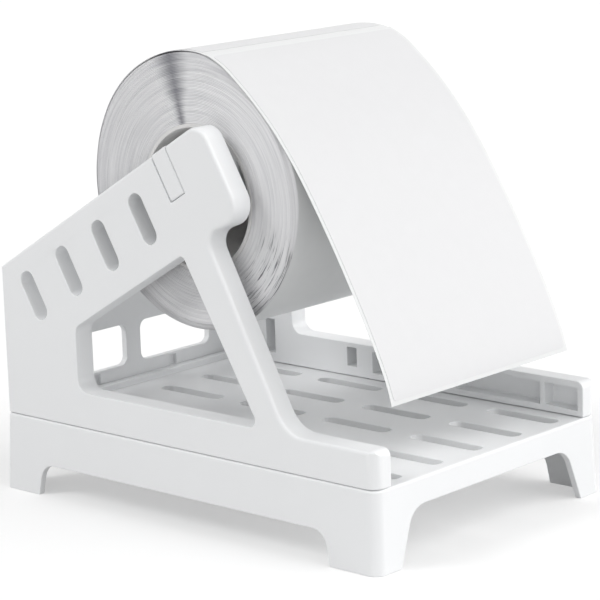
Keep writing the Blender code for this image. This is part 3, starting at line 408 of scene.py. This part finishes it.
def painted_gap_shade(tree, radius, towards):
    """How dark the painted shade is in the gaps between the turns that stand apart."""
    facing = add(tree, "ShaderNodeVectorMath", values={1: direction(GAP_SHADE_ANGLE)},
                 links={0: towards}, operation="DOT_PRODUCT").outputs["Value"]
    gaps = ring_noise(tree, radius, towards, GAP_SHADE_PITCH, GAP_SHADE_LOBES, detail=2.0)
    dark = None
    for value, low, high, strength in ((gaps, *GAP_SHADE_NOISE, GAP_SHADE_STRENGTH),
                                       (facing, math.cos(GAP_SHADE_WIDTH), 1.0, 1.0),
                                       (radius, *GAP_SHADE_RADII, 1.0)):
        part = add(tree, "ShaderNodeMapRange", interpolation_type="SMOOTHSTEP",
                   values={"From Min": low, "From Max": high, "To Max": strength},
                   links={"Value": value}).outputs["Result"]
        dark = part if dark is None else add(tree, "ShaderNodeMath", links={0: part, 1: dark},
                                             operation="MULTIPLY").outputs[0]
    return dark


print("torn gaps at", round(math.degrees(GAP_SHADE_ANGLE), 1), "degrees")

# %% [markdown]
# ## Finish of the wound edges
# Cut paper is matt, so the roughness is high and has no pattern of its own. The colour is laid in
# layers: first the rings, then the grey streak, then the painted shade in the gaps.

# %% Wound paper edges
RING_PITCH = 0.7 * MM
RING_LOBES = 1.5
RING_NOISE = (0.3, 0.65)  # from a grey ring to a light one

wound_edge, tree, shader = new_material("cut edges of wound paper", {"IOR": 1.5, "Roughness": 0.6})
out, radius, towards = round_the_roll(tree)
rings = ring_noise(tree, radius, towards, RING_PITCH, RING_LOBES, detail=4.0)
rings = add(tree, "ShaderNodeMapRange", interpolation_type="SMOOTHSTEP",
            values={"From Min": RING_NOISE[0], "From Max": RING_NOISE[1]}, links={"Value": rings})
shades = add(tree, "ShaderNodeMix", values={FIRST: linear("#DEDEE0"), SECOND: linear("#EEEEEF")},
             links={0: rings.outputs["Result"]}, data_type="RGBA")
# A grey streak on the side of the roll, laid over the rings
streaked = add(tree, "ShaderNodeMix", values={SECOND: linear("#6E6E78")}, data_type="RGBA",
              links={0: grey_streak(tree, out, radius, towards), FIRST: shades.outputs[MIXED]})
# Painted shade in the gaps between the turns that stand apart, laid last
shaded = add(tree, "ShaderNodeMix", values={SECOND: linear("#5A5A60")}, data_type="RGBA",
           links={0: painted_gap_shade(tree, radius, towards), FIRST: streaked.outputs[MIXED]})
tree.links.new(shaded.outputs[MIXED], shader.inputs["Base Color"])
print(wound_edge.name, "with rings", round(RING_PITCH / MM, 2), "mm apart")

# %% [markdown]
# ## Core board
# The core is a tube wound from strips of light grey board in a spiral. The board is matt, and a
# saw leaves its ends fibrous, so a fine noise shades it and roughens its surface.

# %% Core board
BOARD_FIBRE_SIZE = 0.8 * MM
BOARD_FIBRE_HEIGHT = 0.05 * MM

core_board, tree, shader = new_material("spiral wound core board", {"IOR": 1.5, "Roughness": 0.85})
where = add(tree, "ShaderNodeTexCoord")
fibres = add(tree, "ShaderNodeTexNoise", values={"Scale": 1 / BOARD_FIBRE_SIZE, "Detail": 5.0},
             links={"Vector": where.outputs["Object"]})
tint = add(tree, "ShaderNodeMix", values={FIRST: linear("#E4E3E2"), SECOND: linear("#ECEBEA")},
           links={0: fibres.outputs[0]}, data_type="RGBA")
tree.links.new(tint.outputs[MIXED], shader.inputs["Base Color"])
bump = add(tree, "ShaderNodeBump", values={"Strength": 0.5, "Distance": BOARD_FIBRE_HEIGHT},
           links={"Height": fibres.outputs[0]})
tree.links.new(bump.outputs["Normal"], shader.inputs["Normal"])
print(core_board.name, "with fibres of", BOARD_FIBRE_SIZE / MM, "mm")

# %% [markdown]
# ## Zinc plated steel
# The screws are bright zinc plated steel, which keeps the marks of the die that rolled it. The
# marks are drawn as small changes in gloss and shade.

# %% Zinc plated steel
DIE_MARK_SIZE = 0.6 * MM

zinc_steel, tree, shader = new_material("zinc plated steel", {"Metallic": 1.0})
where = add(tree, "ShaderNodeTexCoord")
marks = add(tree, "ShaderNodeTexNoise", values={"Scale": 1 / DIE_MARK_SIZE, "Detail": 3.0},
            links={"Vector": where.outputs["Object"]})
gloss = add(tree, "ShaderNodeMapRange", values={"To Min": 0.24, "To Max": 0.42},
            links={"Value": marks.outputs[0]})
tree.links.new(gloss.outputs["Result"], shader.inputs["Roughness"])
tint = add(tree, "ShaderNodeMix", values={FIRST: linear("#BFC1C4"), SECOND: linear("#CFD1D3")},
           links={0: marks.outputs[0]}, data_type="RGBA")
tree.links.new(tint.outputs[MIXED], shader.inputs["Base Color"])
print(zinc_steel.name, "with marks of", DIE_MARK_SIZE / MM, "mm")

# %% [markdown]
# ## A finished piece
# Every piece ends the same way: its bmesh becomes an object at the origin, it gets its finish,
# it is hung on the body that carries it, and the CAD solids that it stands for are hidden. One
# function does this for all of them. Faces are smooth, apart from the edges where they turn
# sharply.

# %% A helper that finishes a piece
SHARP_FROM = math.radians(35)


def finish_piece(name, bm, finishes, body, stands_for=(), sharp=SHARP_FROM):
    """Makes a mesh an object at the origin that rides on a body and takes its finishes."""
    mesh = bpy.data.meshes.new(name)
    bm.to_mesh(mesh)
    bm.free()
    mesh.shade_smooth()
    mesh.set_sharp_from_angle(angle=sharp)
    for material in finishes:
        mesh.materials.append(material)
    obj = bpy.data.objects.new(name, mesh)
    bpy.context.scene.collection.objects.link(obj)
    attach(obj, body)
    if stands_for:
        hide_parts(*stands_for)
    return obj


print("edges are sharp from", round(math.degrees(SHARP_FROM)), "degrees")

# %% [markdown]
# ## Mouldings
# The CAD solids have the right shape, but every edge of them is knife sharp. A mould can't make
# such an edge, and without a small round an edge catches no light. So each moulding is a copy
# of its solid with its doubles merged and its sharp edges rounded by bmesh's bevel. Where rounds
# run into each other a face folds over, so the edges that end there stay sharp, and the bevel is
# done again. The solid is hidden and stays for collision.

# %% Rounded edges
EDGE_ROUND = 0.35 * MM
ROUND_SEGMENTS = 3
ROUNDED_FROM = math.radians(40)  # edges that turn more than this are rounded
FOLD_TURN = math.radians(168)  # faces that turn more than this have folded over
FOLD_REACH = 1.2 * MM  # an edge that ends this close to a fold stays sharp


def rounded(plain, spots):
    """A copy of a mesh with its sharp edges rounded, but not those that end at one of the spots,
    the places where a face has folded back on its neighbour, and how many edges were rounded."""
    bm = plain.copy()
    # An edge shorter than the round would make its neighbours' rounds run into each other
    tight = {vert for vert in bm.verts
             if any(edge.calc_length() < EDGE_ROUND for edge in vert.link_edges)
             or any((vert.co - spot).length < FOLD_REACH for spot in spots)}
    sharp = [edge for edge in bm.edges
             if edge.calc_face_angle(0) > ROUNDED_FROM and not tight.intersection(edge.verts)]
    bmesh.ops.bevel(bm, geom=sharp, offset=EDGE_ROUND, offset_type="OFFSET", affect="EDGES",
                    segments=ROUND_SEGMENTS, profile=0.5, material=-1, clamp_overlap=False)
    bm.normal_update()
    folds = [(edge.verts[0].co + edge.verts[1].co) / 2 for edge in bm.edges
             if edge.calc_face_angle(0) > FOLD_TURN]
    return bm, folds, len(sharp)


print("rounds of", EDGE_ROUND / MM, "mm")

# %% [markdown]
# ## Flat faces that stay flat
# Smooth shading blends each corner's normal from all the faces round it, so a wide flat face next
# to a round looks dented. Blender's weighted normals mend that, but they still lean across long
# thin faces. Here each corner takes its normal from those faces only that turn a little from its
# own, and the big ones count most.

# %% Normals
SMOOTH_TURN = math.radians(36)  # more than a round's turn from face to face
TINY = 1e-12  # a sum of normals that is shorter has no direction


def keep_flat_faces_flat(mesh):
    """Sets each corner's normal from its vertex's faces that turn little from its own face."""
    faces_at = [[] for vert in mesh.vertices]
    for face in mesh.polygons:
        for index in face.vertices:
            faces_at[index].append(face)
    normals = []
    for face in mesh.polygons:
        for index in face.vertices:
            near = [other for other in faces_at[index]
                    if other.normal.dot(face.normal) > math.cos(SMOOTH_TURN)]
            total = sum((other.normal * (other.area / MM ** 2) ** 2 for other in near), Vector())
            normals.append((total if total.length > TINY else face.normal).normalized())
    mesh.normals_split_custom_set(normals)


print("a square edge's round turns", 90 / ROUND_SEGMENTS, "degrees from face to face")

# %% [markdown]
# ## The stand's and the spindle's mouldings
# The tray, the two frames, the rear panel and the spindle's two ends are all mouldings. The
# solids are loose triangles, so their doubles are merged and flat faces joined first. That leaves
# fewer thin faces for the bevel to stumble over.

# %% The mouldings
MERGE = 0.002 * MM
FLAT_TURN = math.radians(0.5)  # faces that turn less than this are one flat face
TRIALS = 3
MOULDING_SHARP_FROM = math.radians(50)
MOULDINGS = (  # name, the solid that it stands for, the body that carries it
    ("tray_moulding", "base_tray", "stand"),
    ("left_frame_moulding", "left_side_frame", "stand"),
    ("right_frame_moulding", "right_side_frame", "stand"),
    ("rear_panel_moulding", "rear_panel", "stand"),
    ("left_spindle_cap", "left_spindle_end", "spindle"),
    ("right_spindle_cap", "right_spindle_end", "spindle"),
)


def moulding(name, node, body):
    """A copy of a CAD solid with its sharp edges rounded."""
    plain = bmesh.new()
    plain.from_mesh(frame["nodes"][node].data)
    for layer in list(plain.loops.layers.uv.values()):
        plain.loops.layers.uv.remove(layer)
    bmesh.ops.remove_doubles(plain, verts=plain.verts[:], dist=MERGE)
    bmesh.ops.dissolve_limit(plain, angle_limit=FLAT_TURN, verts=plain.verts[:],
                             edges=plain.edges[:])
    bmesh.ops.triangulate(plain, faces=plain.faces[:])
    plain.normal_update()
    spots = []
    for trials_left in reversed(range(TRIALS)):
        bm, folds, count = rounded(plain, spots)
        if not folds or not trials_left:
            break
        spots += folds
        bm.free()
    plain.free()
    bmesh.ops.dissolve_limit(bm, angle_limit=FLAT_TURN, verts=bm.verts[:], edges=bm.edges[:])
    open_edges = sum(1 for edge in bm.edges if len(edge.link_faces) != 2)
    for face in bm.faces:
        face.material_index = 0
    piece = finish_piece(name, bm, [white_abs], body, [node],
                         MOULDING_SHARP_FROM)
    keep_flat_faces_flat(piece.data)
    print(name, count, "edges rounded,", len(folds), "folds,", len(piece.data.polygons),
          "faces,", open_edges, "open edges")


for name, node, body in MOULDINGS:
    moulding(name, node, body)

# %% [markdown]
# ## The roll's outline
# The tight turns are round. The outer turns are slack: they bulge by up to 8.2 mm and lie flat
# where the leader pulls on them. Shares of that depth at a few angles describe the bulge, and a
# smooth curve through them gives it everywhere.

# %% The slack outline
SLACK_DEPTH = 8.2 * MM
SLACK_SHARES = (  # angle from the rear over the top in degrees, share of the depth
    (15.0, 0.81), (45.0, 0.99), (75.0, 0.95), (95.0, 0.84), (105.0, 0.61), (119.0, 0.21),
    (135.0, 0.05), (150.0, 0.17), (160.0, 0.38), (172.0, 0.40), (204.0, 0.27), (234.0, 0.26),
    (269.0, 0.24), (306.0, 0.34), (340.0, 0.58),
)
SEAT_GAP = 0.3 * MM  # between the tight and the slack turns


def box_radius(node):
    """Radius of a round node that lies along X."""
    low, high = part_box(node)
    return (high[1] - low[1]) / 2


def slack_share(angle):
    """Share of the slack depth at an angle, counted from the rear over the top."""
    turn = math.degrees(angle) % 360
    knots = [(a - 360, s) for a, s in SLACK_SHARES[-2:]] + list(SLACK_SHARES)
    knots += [(a + 360, s) for a, s in SLACK_SHARES[:3]]
    i = max(k for k in range(1, len(knots) - 2) if knots[k][0] <= turn)
    (a0, s0), (a1, s1), (a2, s2), (a3, s3) = knots[i - 1:i + 3]
    t = (turn - a1) / (a2 - a1)
    slope1 = (s2 - s0) / (a2 - a0) * (a2 - a1)
    slope2 = (s3 - s1) / (a3 - a1) * (a2 - a1)
    return ((2 * t ** 3 - 3 * t ** 2 + 1) * s1 + (t ** 3 - 2 * t ** 2 + t) * slope1
            + (3 * t ** 2 - 2 * t ** 3) * s2 + (t ** 3 - t ** 2) * slope2)


SLACK_INSIDE = box_radius("wound_labels") + SEAT_GAP


def slack_point(angle, outside):
    """A point (Y, Z) at a distance outside the roll's outline."""
    radius = SLACK_INSIDE + SLACK_DEPTH * slack_share(angle) + outside
    return Vector((ROLL_CENTRE.y + radius * math.cos(angle),
                   ROLL_CENTRE.z + radius * math.sin(angle)))


print("roll's radius from", round(SLACK_INSIDE / MM, 1), "to",
      round((SLACK_INSIDE + SLACK_DEPTH) / MM, 1), "mm")

# %% [markdown]
# ## Ringed sides
# A real roll is one strip, wound a hundred and fifty times, and each turn shows as a fine ridge
# on the roll's side. Modelling each turn would cost far too many faces, so a ring is spun with
# bmesh's spin from a profile of fewer ridges and grooves.

# %% A ring spun from a profile
HALF_LINER = 52 * MM
RING_STEPS = 144
GROOVE_DEPTH = 0.22 * MM
RIDGE = (0.35, 0.65)  # shares of the pitch between which a ridge is level
WANDER = 0.16 * MM  # how far a turn's edge moves in and out


def ringed_profile(low, high, turns, rim=()):
    """Points (X, radius) round a ring's cross-section, grooved on both sides. The rim is what
    comes outside the last turn."""
    pitch = (high - low) / turns
    groove = HALF_LINER - GROOVE_DEPTH - WANDER
    side = []
    for i in range(turns):
        side.append((groove, low + pitch * i))
        side += [(HALF_LINER - WANDER, low + pitch * (i + share)) for share in RIDGE]
    side += rim or [(groove, high)]
    return side + [(-x, r) for x, r in reversed(side)]


def spun_ring(profile, centre=ROLL_CENTRE, steps=RING_STEPS):
    """Spins a closed profile of (X, radius) points round an axis along X."""
    bm = bmesh.new()
    verts = [bm.verts.new((x, centre.y + r, centre.z)) for x, r in profile]
    edges = [bm.edges.new(pair) for pair in zip(verts, verts[1:] + verts[:1])]
    bmesh.ops.spin(bm, geom=verts + edges, cent=centre, axis=(1, 0, 0),
                   angle=2 * math.pi, steps=steps, use_merge=True)
    bmesh.ops.remove_doubles(bm, verts=bm.verts[:], dist=MERGE)
    bmesh.ops.recalc_face_normals(bm, faces=bm.faces[:])
    return bm


print("a ring is spun in", RING_STEPS, "steps")

# %% [markdown]
# ## Wound labels
# The labels are wound tightly on the core, and this part of the roll turns with it. When a roll
# is handled its turns slip sideways a little, so each ridge is pushed in and out as it goes round.
# A noise that reads the turn and the direction does that, and moves each turn as one.

# %% The tight turns
TIGHT_TURNS = 36
TURN_SIZE = 0.9 * MM  # across the turns that wander alike
WANDER_LOBES = 1.6  # how often a turn wanders as it goes round
HAIRLINE = 0.04 * MM  # what is left of the gaps at the core and at the slack turns
CORE_OUTSIDE = box_radius("label_core")


def from_axis(point):
    """The way out from the roll's axis to a point."""
    return Vector((point.y - ROLL_CENTRE.y, point.z - ROLL_CENTRE.z))


def wander(vert):
    """Moves a vertex of a roll's side in or out, alike along its turn."""
    away = from_axis(vert.co)
    place = Vector((away.length / TURN_SIZE, *(away.normalized() * WANDER_LOBES)))
    vert.co.x += noise.noise(place) * WANDER * (1 if vert.co.x > 0 else -1)


wound = spun_ring(ringed_profile(CORE_OUTSIDE + HAIRLINE, SLACK_INSIDE - HAIRLINE, TIGHT_TURNS))
for vert in wound.verts:
    wander(vert)
wound_roll = finish_piece("wound_roll", wound, [wound_edge], "label_roll",
                          ["wound_labels"])
print("wound roll", len(wound_roll.data.polygons), "faces")

# %% [markdown]
# ## Slack turns
# The outer turns have come a little loose. They are spun like the tight ones, with a deeper gap
# under the outermost turn, which shows as a thin dark line. Then every vertex is moved out to
# its share of the slack outline. The outside of the roll takes the liner's finish.

# %% Slack turns
SLACK_TURNS = 14
RIM_GAP = 3.0 * MM
RIM_GAP_WIDTH = 0.4 * MM
RIM_THICKNESS = 0.2 * MM

slack_outside = SLACK_INSIDE + SLACK_DEPTH
rim_inside = slack_outside - RIM_THICKNESS
rim = [(HALF_LINER - RIM_GAP, rim_inside - RIM_GAP_WIDTH), (HALF_LINER - RIM_GAP, rim_inside),
       (HALF_LINER - WANDER, rim_inside), (HALF_LINER - WANDER, slack_outside)]
slack = spun_ring(ringed_profile(SLACK_INSIDE, rim_inside - RIM_GAP_WIDTH, SLACK_TURNS, rim))
for face in slack.faces:
    outermost = all(from_axis(vert.co).length > slack_outside - MERGE for vert in face.verts)
    face.material_index = 1 if outermost else 0
for vert in slack.verts:
    away = from_axis(vert.co)
    angle = math.atan2(away.y, away.x)
    radius = SLACK_INSIDE + (away.length - SLACK_INSIDE) * slack_share(angle)
    vert.co.y = ROLL_CENTRE.y + radius * math.cos(angle)
    vert.co.z = ROLL_CENTRE.z + radius * math.sin(angle)
    wander(vert)
slack_roll = finish_piece("slack_roll", slack, [wound_edge, liner_paper], "spindle",
                          ["slack_turns"])
print("slack turns", len(slack_roll.data.polygons), "faces")

# %% [markdown]
# ## Leader
# The strip leaves the roll over its front and falls in one slow curve. Its path is the slack
# outline for sixty degrees and then a Bezier curve, just as in the CAD, but in finer steps.

# %% The leader's path
GAP_ANGLE = math.radians(98)  # where the gap between two labels lies
LEAVE_ANGLE = math.radians(157.5)  # where the leader leaves the roll
LEAVE_STEP = math.radians(5)  # back to the point that gives the direction there
LEADER_END = Vector((-92.2 * MM, 58.3 * MM))
START_HANDLE = 20 * MM
END_HANDLE = 16 * MM
END_SLOPE = math.radians(9)  # from upright
HUG_STEPS = 48
FREE_STEPS = 72
PAPER_GAP = 0.2 * MM


def leader_path(outside):
    """Points (Y, Z) from the gap between two labels to the leader's end."""
    turn = (LEAVE_ANGLE - GAP_ANGLE) / HUG_STEPS
    hug = [slack_point(GAP_ANGLE + turn * i, outside) for i in range(HUG_STEPS + 1)]
    start = hug[-1]
    leave = (slack_point(LEAVE_ANGLE, outside)
             - slack_point(LEAVE_ANGLE - LEAVE_STEP, outside)).normalized()
    drop = Vector((-math.sin(END_SLOPE), -math.cos(END_SLOPE)))
    end = LEADER_END + Vector((drop.y, -drop.x)) * outside
    handle1 = start + leave * START_HANDLE
    handle2 = end - drop * END_HANDLE
    free = []
    for i in range(1, FREE_STEPS + 1):
        t = i / FREE_STEPS
        free.append(start * (1 - t) ** 3 + handle1 * (3 * t * (1 - t) ** 2)
                    + handle2 * (3 * t ** 2 * (1 - t)) + end * t ** 3)
    return hug + free


path = leader_path(PAPER_GAP)
path_length = sum((b - a).length for a, b in zip(path, path[1:]))
print("leader", round(path_length / MM, 1), "mm long")

# %% [markdown]
# ## A strip of paper
# A strip could be lofted point by point along its path. It is simpler to start from a flat sheet:
# its corners are rounded, it is cut into rows and given its thickness, and then every vertex is
# moved from its place along the sheet to the same distance along the path.

# %% A strip laid along a path
STRIP_ROWS = 90
SHEET = 0.12 * MM  # thickness of the liner and of a label
CORNER_SEGMENTS = 5


def path_at(points, distance):
    """The point and direction at a distance along a path."""
    for a, b in zip(points, points[1:]):
        length = (b - a).length
        if distance <= length:
            return a.lerp(b, distance / length), (b - a).normalized()
        distance -= length
    return points[-1].copy(), (points[-1] - points[-2]).normalized()


def strip(points, start, end, half_width, outside, corner):
    """A sheet along a path from start to end, outside it by a distance, with rounded corners."""
    length = end - start
    bm = bmesh.new()
    bmesh.ops.create_grid(bm, x_segments=1, y_segments=1, size=0.5)
    bmesh.ops.scale(bm, verts=bm.verts[:], vec=(2 * half_width, length, 1))
    if corner > 0:
        bmesh.ops.bevel(bm, geom=bm.verts[:], offset=corner, affect="VERTICES",
                        segments=CORNER_SEGMENTS, profile=0.5, material=-1, clamp_overlap=True,
                        offset_type="OFFSET")
    for i in range(1, STRIP_ROWS):
        y = -length / 2 + length * i / STRIP_ROWS
        bmesh.ops.bisect_plane(bm, geom=bm.verts[:] + bm.edges[:] + bm.faces[:],
                               plane_co=(0, y, 0), plane_no=(0, 1, 0), dist=MERGE)
    result = bmesh.ops.extrude_face_region(bm, geom=bm.faces[:])
    top = [item for item in result["geom"] if isinstance(item, bmesh.types.BMVert)]
    bmesh.ops.translate(bm, verts=top, vec=(0, 0, SHEET))
    for vert in bm.verts:
        point, tangent = path_at(points, start + length / 2 + vert.co.y)
        side = Vector((tangent.y, -tangent.x))
        point = point + side * (outside + vert.co.z)
        vert.co = Vector((vert.co.x, point.x, point.y))
    bmesh.ops.recalc_face_normals(bm, faces=bm.faces[:])
    return bm


print("strips are", SHEET / MM, "mm thick, in", STRIP_ROWS, "rows")

# %% [markdown]
# ## Liner and label
# The liner runs from the gap to the torn end. A label sticks on it, with 1.5 mm of bare liner at
# its sides and at its end. The die that cut the label left its corners round, so its sheet has
# them too, while the liner is torn straight across.

# %% The leader and its label
HALF_LABEL = 50.5 * MM
LABEL_LENGTH = 146 * MM
LABEL_CORNER = 1.6 * MM
END_MARGIN = 1.5 * MM
STUCK_GAP = 0.01 * MM  # between a label and the liner that it sticks to

liner = strip(path, 0, path_length, HALF_LINER, 0, 0)
finish_piece("liner_strip", liner, [liner_paper], "spindle", ["leader_liner"])
label_end = path_length - END_MARGIN
label = strip(path, label_end - LABEL_LENGTH, label_end, HALF_LABEL, SHEET + STUCK_GAP,
              LABEL_CORNER)
finish_piece("front_label", label, [label_paper], "spindle", ["leader_label"])
print("label from", round((label_end - LABEL_LENGTH) / MM, 1), "to", round(label_end / MM, 1))

# %% [markdown]
# ## The next label
# Behind the gap line the next label still lies on the roll. It follows the slack outline back
# over the top.

# %% The next label
NEXT_LABEL_START = math.radians(-72)
NEXT_LABEL_END = math.radians(94.5)
ROLL_STEPS = 120

turn = (NEXT_LABEL_END - NEXT_LABEL_START) / ROLL_STEPS
on_roll = [slack_point(NEXT_LABEL_START + turn * i, STUCK_GAP) for i in range(ROLL_STEPS + 1)]
on_roll_length = sum((b - a).length for a, b in zip(on_roll, on_roll[1:]))
next_label = strip(on_roll, on_roll_length - LABEL_LENGTH, on_roll_length, HALF_LABEL, 0,
                   LABEL_CORNER)
finish_piece("next_label", next_label, [label_paper], "spindle", ["roll_label"])
print("next label on", round(on_roll_length / MM, 1), "mm of the roll")

# %% [markdown]
# ## Core and drum
# The core is a thin tube of board. The drum is a plain tube of plastic between the spindle's two
# caps. Both are spun from a cross-section with its corners cut off.

# %% Core and drum
CORE_WALL = 1.5 * MM
CORE_CORNER = 0.2 * MM
DRUM_WALL = 2.5 * MM
DRUM_CORNER = 0.3 * MM
DRUM_STEPS = 96


def tube_profile(half, inside, outside, corner):
    """A tube's cross-section as (X, radius) points, with its corners cut off."""
    half_side = [(half - corner, inside), (half, inside + corner), (half, outside - corner),
                 (half - corner, outside)]
    return half_side + [(-x, r) for x, r in reversed(half_side)]


core = spun_ring(tube_profile(HALF_LINER, CORE_OUTSIDE - CORE_WALL, CORE_OUTSIDE, CORE_CORNER))
finish_piece("core_tube", core, [core_board], "label_roll", ["label_core"])

drum_low, drum_high = (Vector(corner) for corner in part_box("spindle_drum"))
drum_centre = (drum_low + drum_high) / 2
drum_radius = (drum_high.z - drum_low.z) / 2
drum = spun_ring(tube_profile(drum_high.x, drum_radius - DRUM_WALL, drum_radius, DRUM_CORNER),
                 drum_centre, DRUM_STEPS)
finish_piece("drum_tube", drum, [white_abs], "spindle", ["spindle_drum"])
print("core bore", round(2 * (CORE_OUTSIDE - CORE_WALL) / MM, 1), "mm, drum",
      round(2 * drum_radius / MM, 1), "mm across")

# %% [markdown]
# ## Screws
# Six pan head screws come up through the tray. They are spun round their own axes from one
# profile: a socket, a domed head, a shank with a rolled thread, and a point. The thread is drawn
# as rings, because it turns inside the frames where nobody sees it.

# %% Screws
SCREW_STEPS = 32
HEAD_SHARES = (  # radius and height of the head's points, as shares of its own
    (0.00, 0.34), (0.50, 0.30), (0.52, 0.62), (0.80, 0.06), (0.97, 0.40), (1.00, 0.75),
    (1.00, 1.00),
)
HEAD_HEIGHT = 1.8 * MM
POINT_LENGTH = 1.5 * MM
SHANK_RADIUS = 1.45 * MM
THREADS = 9
THREAD_DEPTH = 0.22 * MM
THREAD = ((0.1, THREAD_DEPTH), (0.45, 0.0), (0.55, 0.0), (0.9, THREAD_DEPTH))  # share, depth


def screw_piece(node):
    """A finer copy of a screw, in the place of its node."""
    low, high = (Vector(corner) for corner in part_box(node))
    centre = (low + high) / 2
    head_radius = (high.x - low.x) / 2
    profile = [(r * head_radius, low.z + h * HEAD_HEIGHT) for r, h in HEAD_SHARES]
    shank_low = low.z + HEAD_HEIGHT
    shank_high = high.z - POINT_LENGTH
    for i in range(THREADS):
        for share, depth in THREAD:
            height = shank_low + (shank_high - shank_low) * (i + share) / THREADS
            profile.append((SHANK_RADIUS - depth, height))
    profile.append((0.0, high.z))
    bm = bmesh.new()
    verts = [bm.verts.new((centre.x + r, centre.y, z)) for r, z in profile]
    edges = [bm.edges.new(pair) for pair in zip(verts, verts[1:])]
    bmesh.ops.spin(bm, geom=verts + edges, cent=centre, axis=(0, 0, 1), angle=2 * math.pi,
                   steps=SCREW_STEPS, use_merge=True)
    bmesh.ops.remove_doubles(bm, verts=bm.verts[:], dist=MERGE)
    bmesh.ops.recalc_face_normals(bm, faces=bm.faces[:])
    finish_piece(node.replace("frame_screw", "zinc_screw"), bm, [zinc_steel], "stand",
                 [node])


for side in ("left", "right"):
    for row in ("front", "middle", "rear"):
        screw_piece(f"{side}_frame_screw_{row}")
print("6 screws with", THREADS, "threads each")
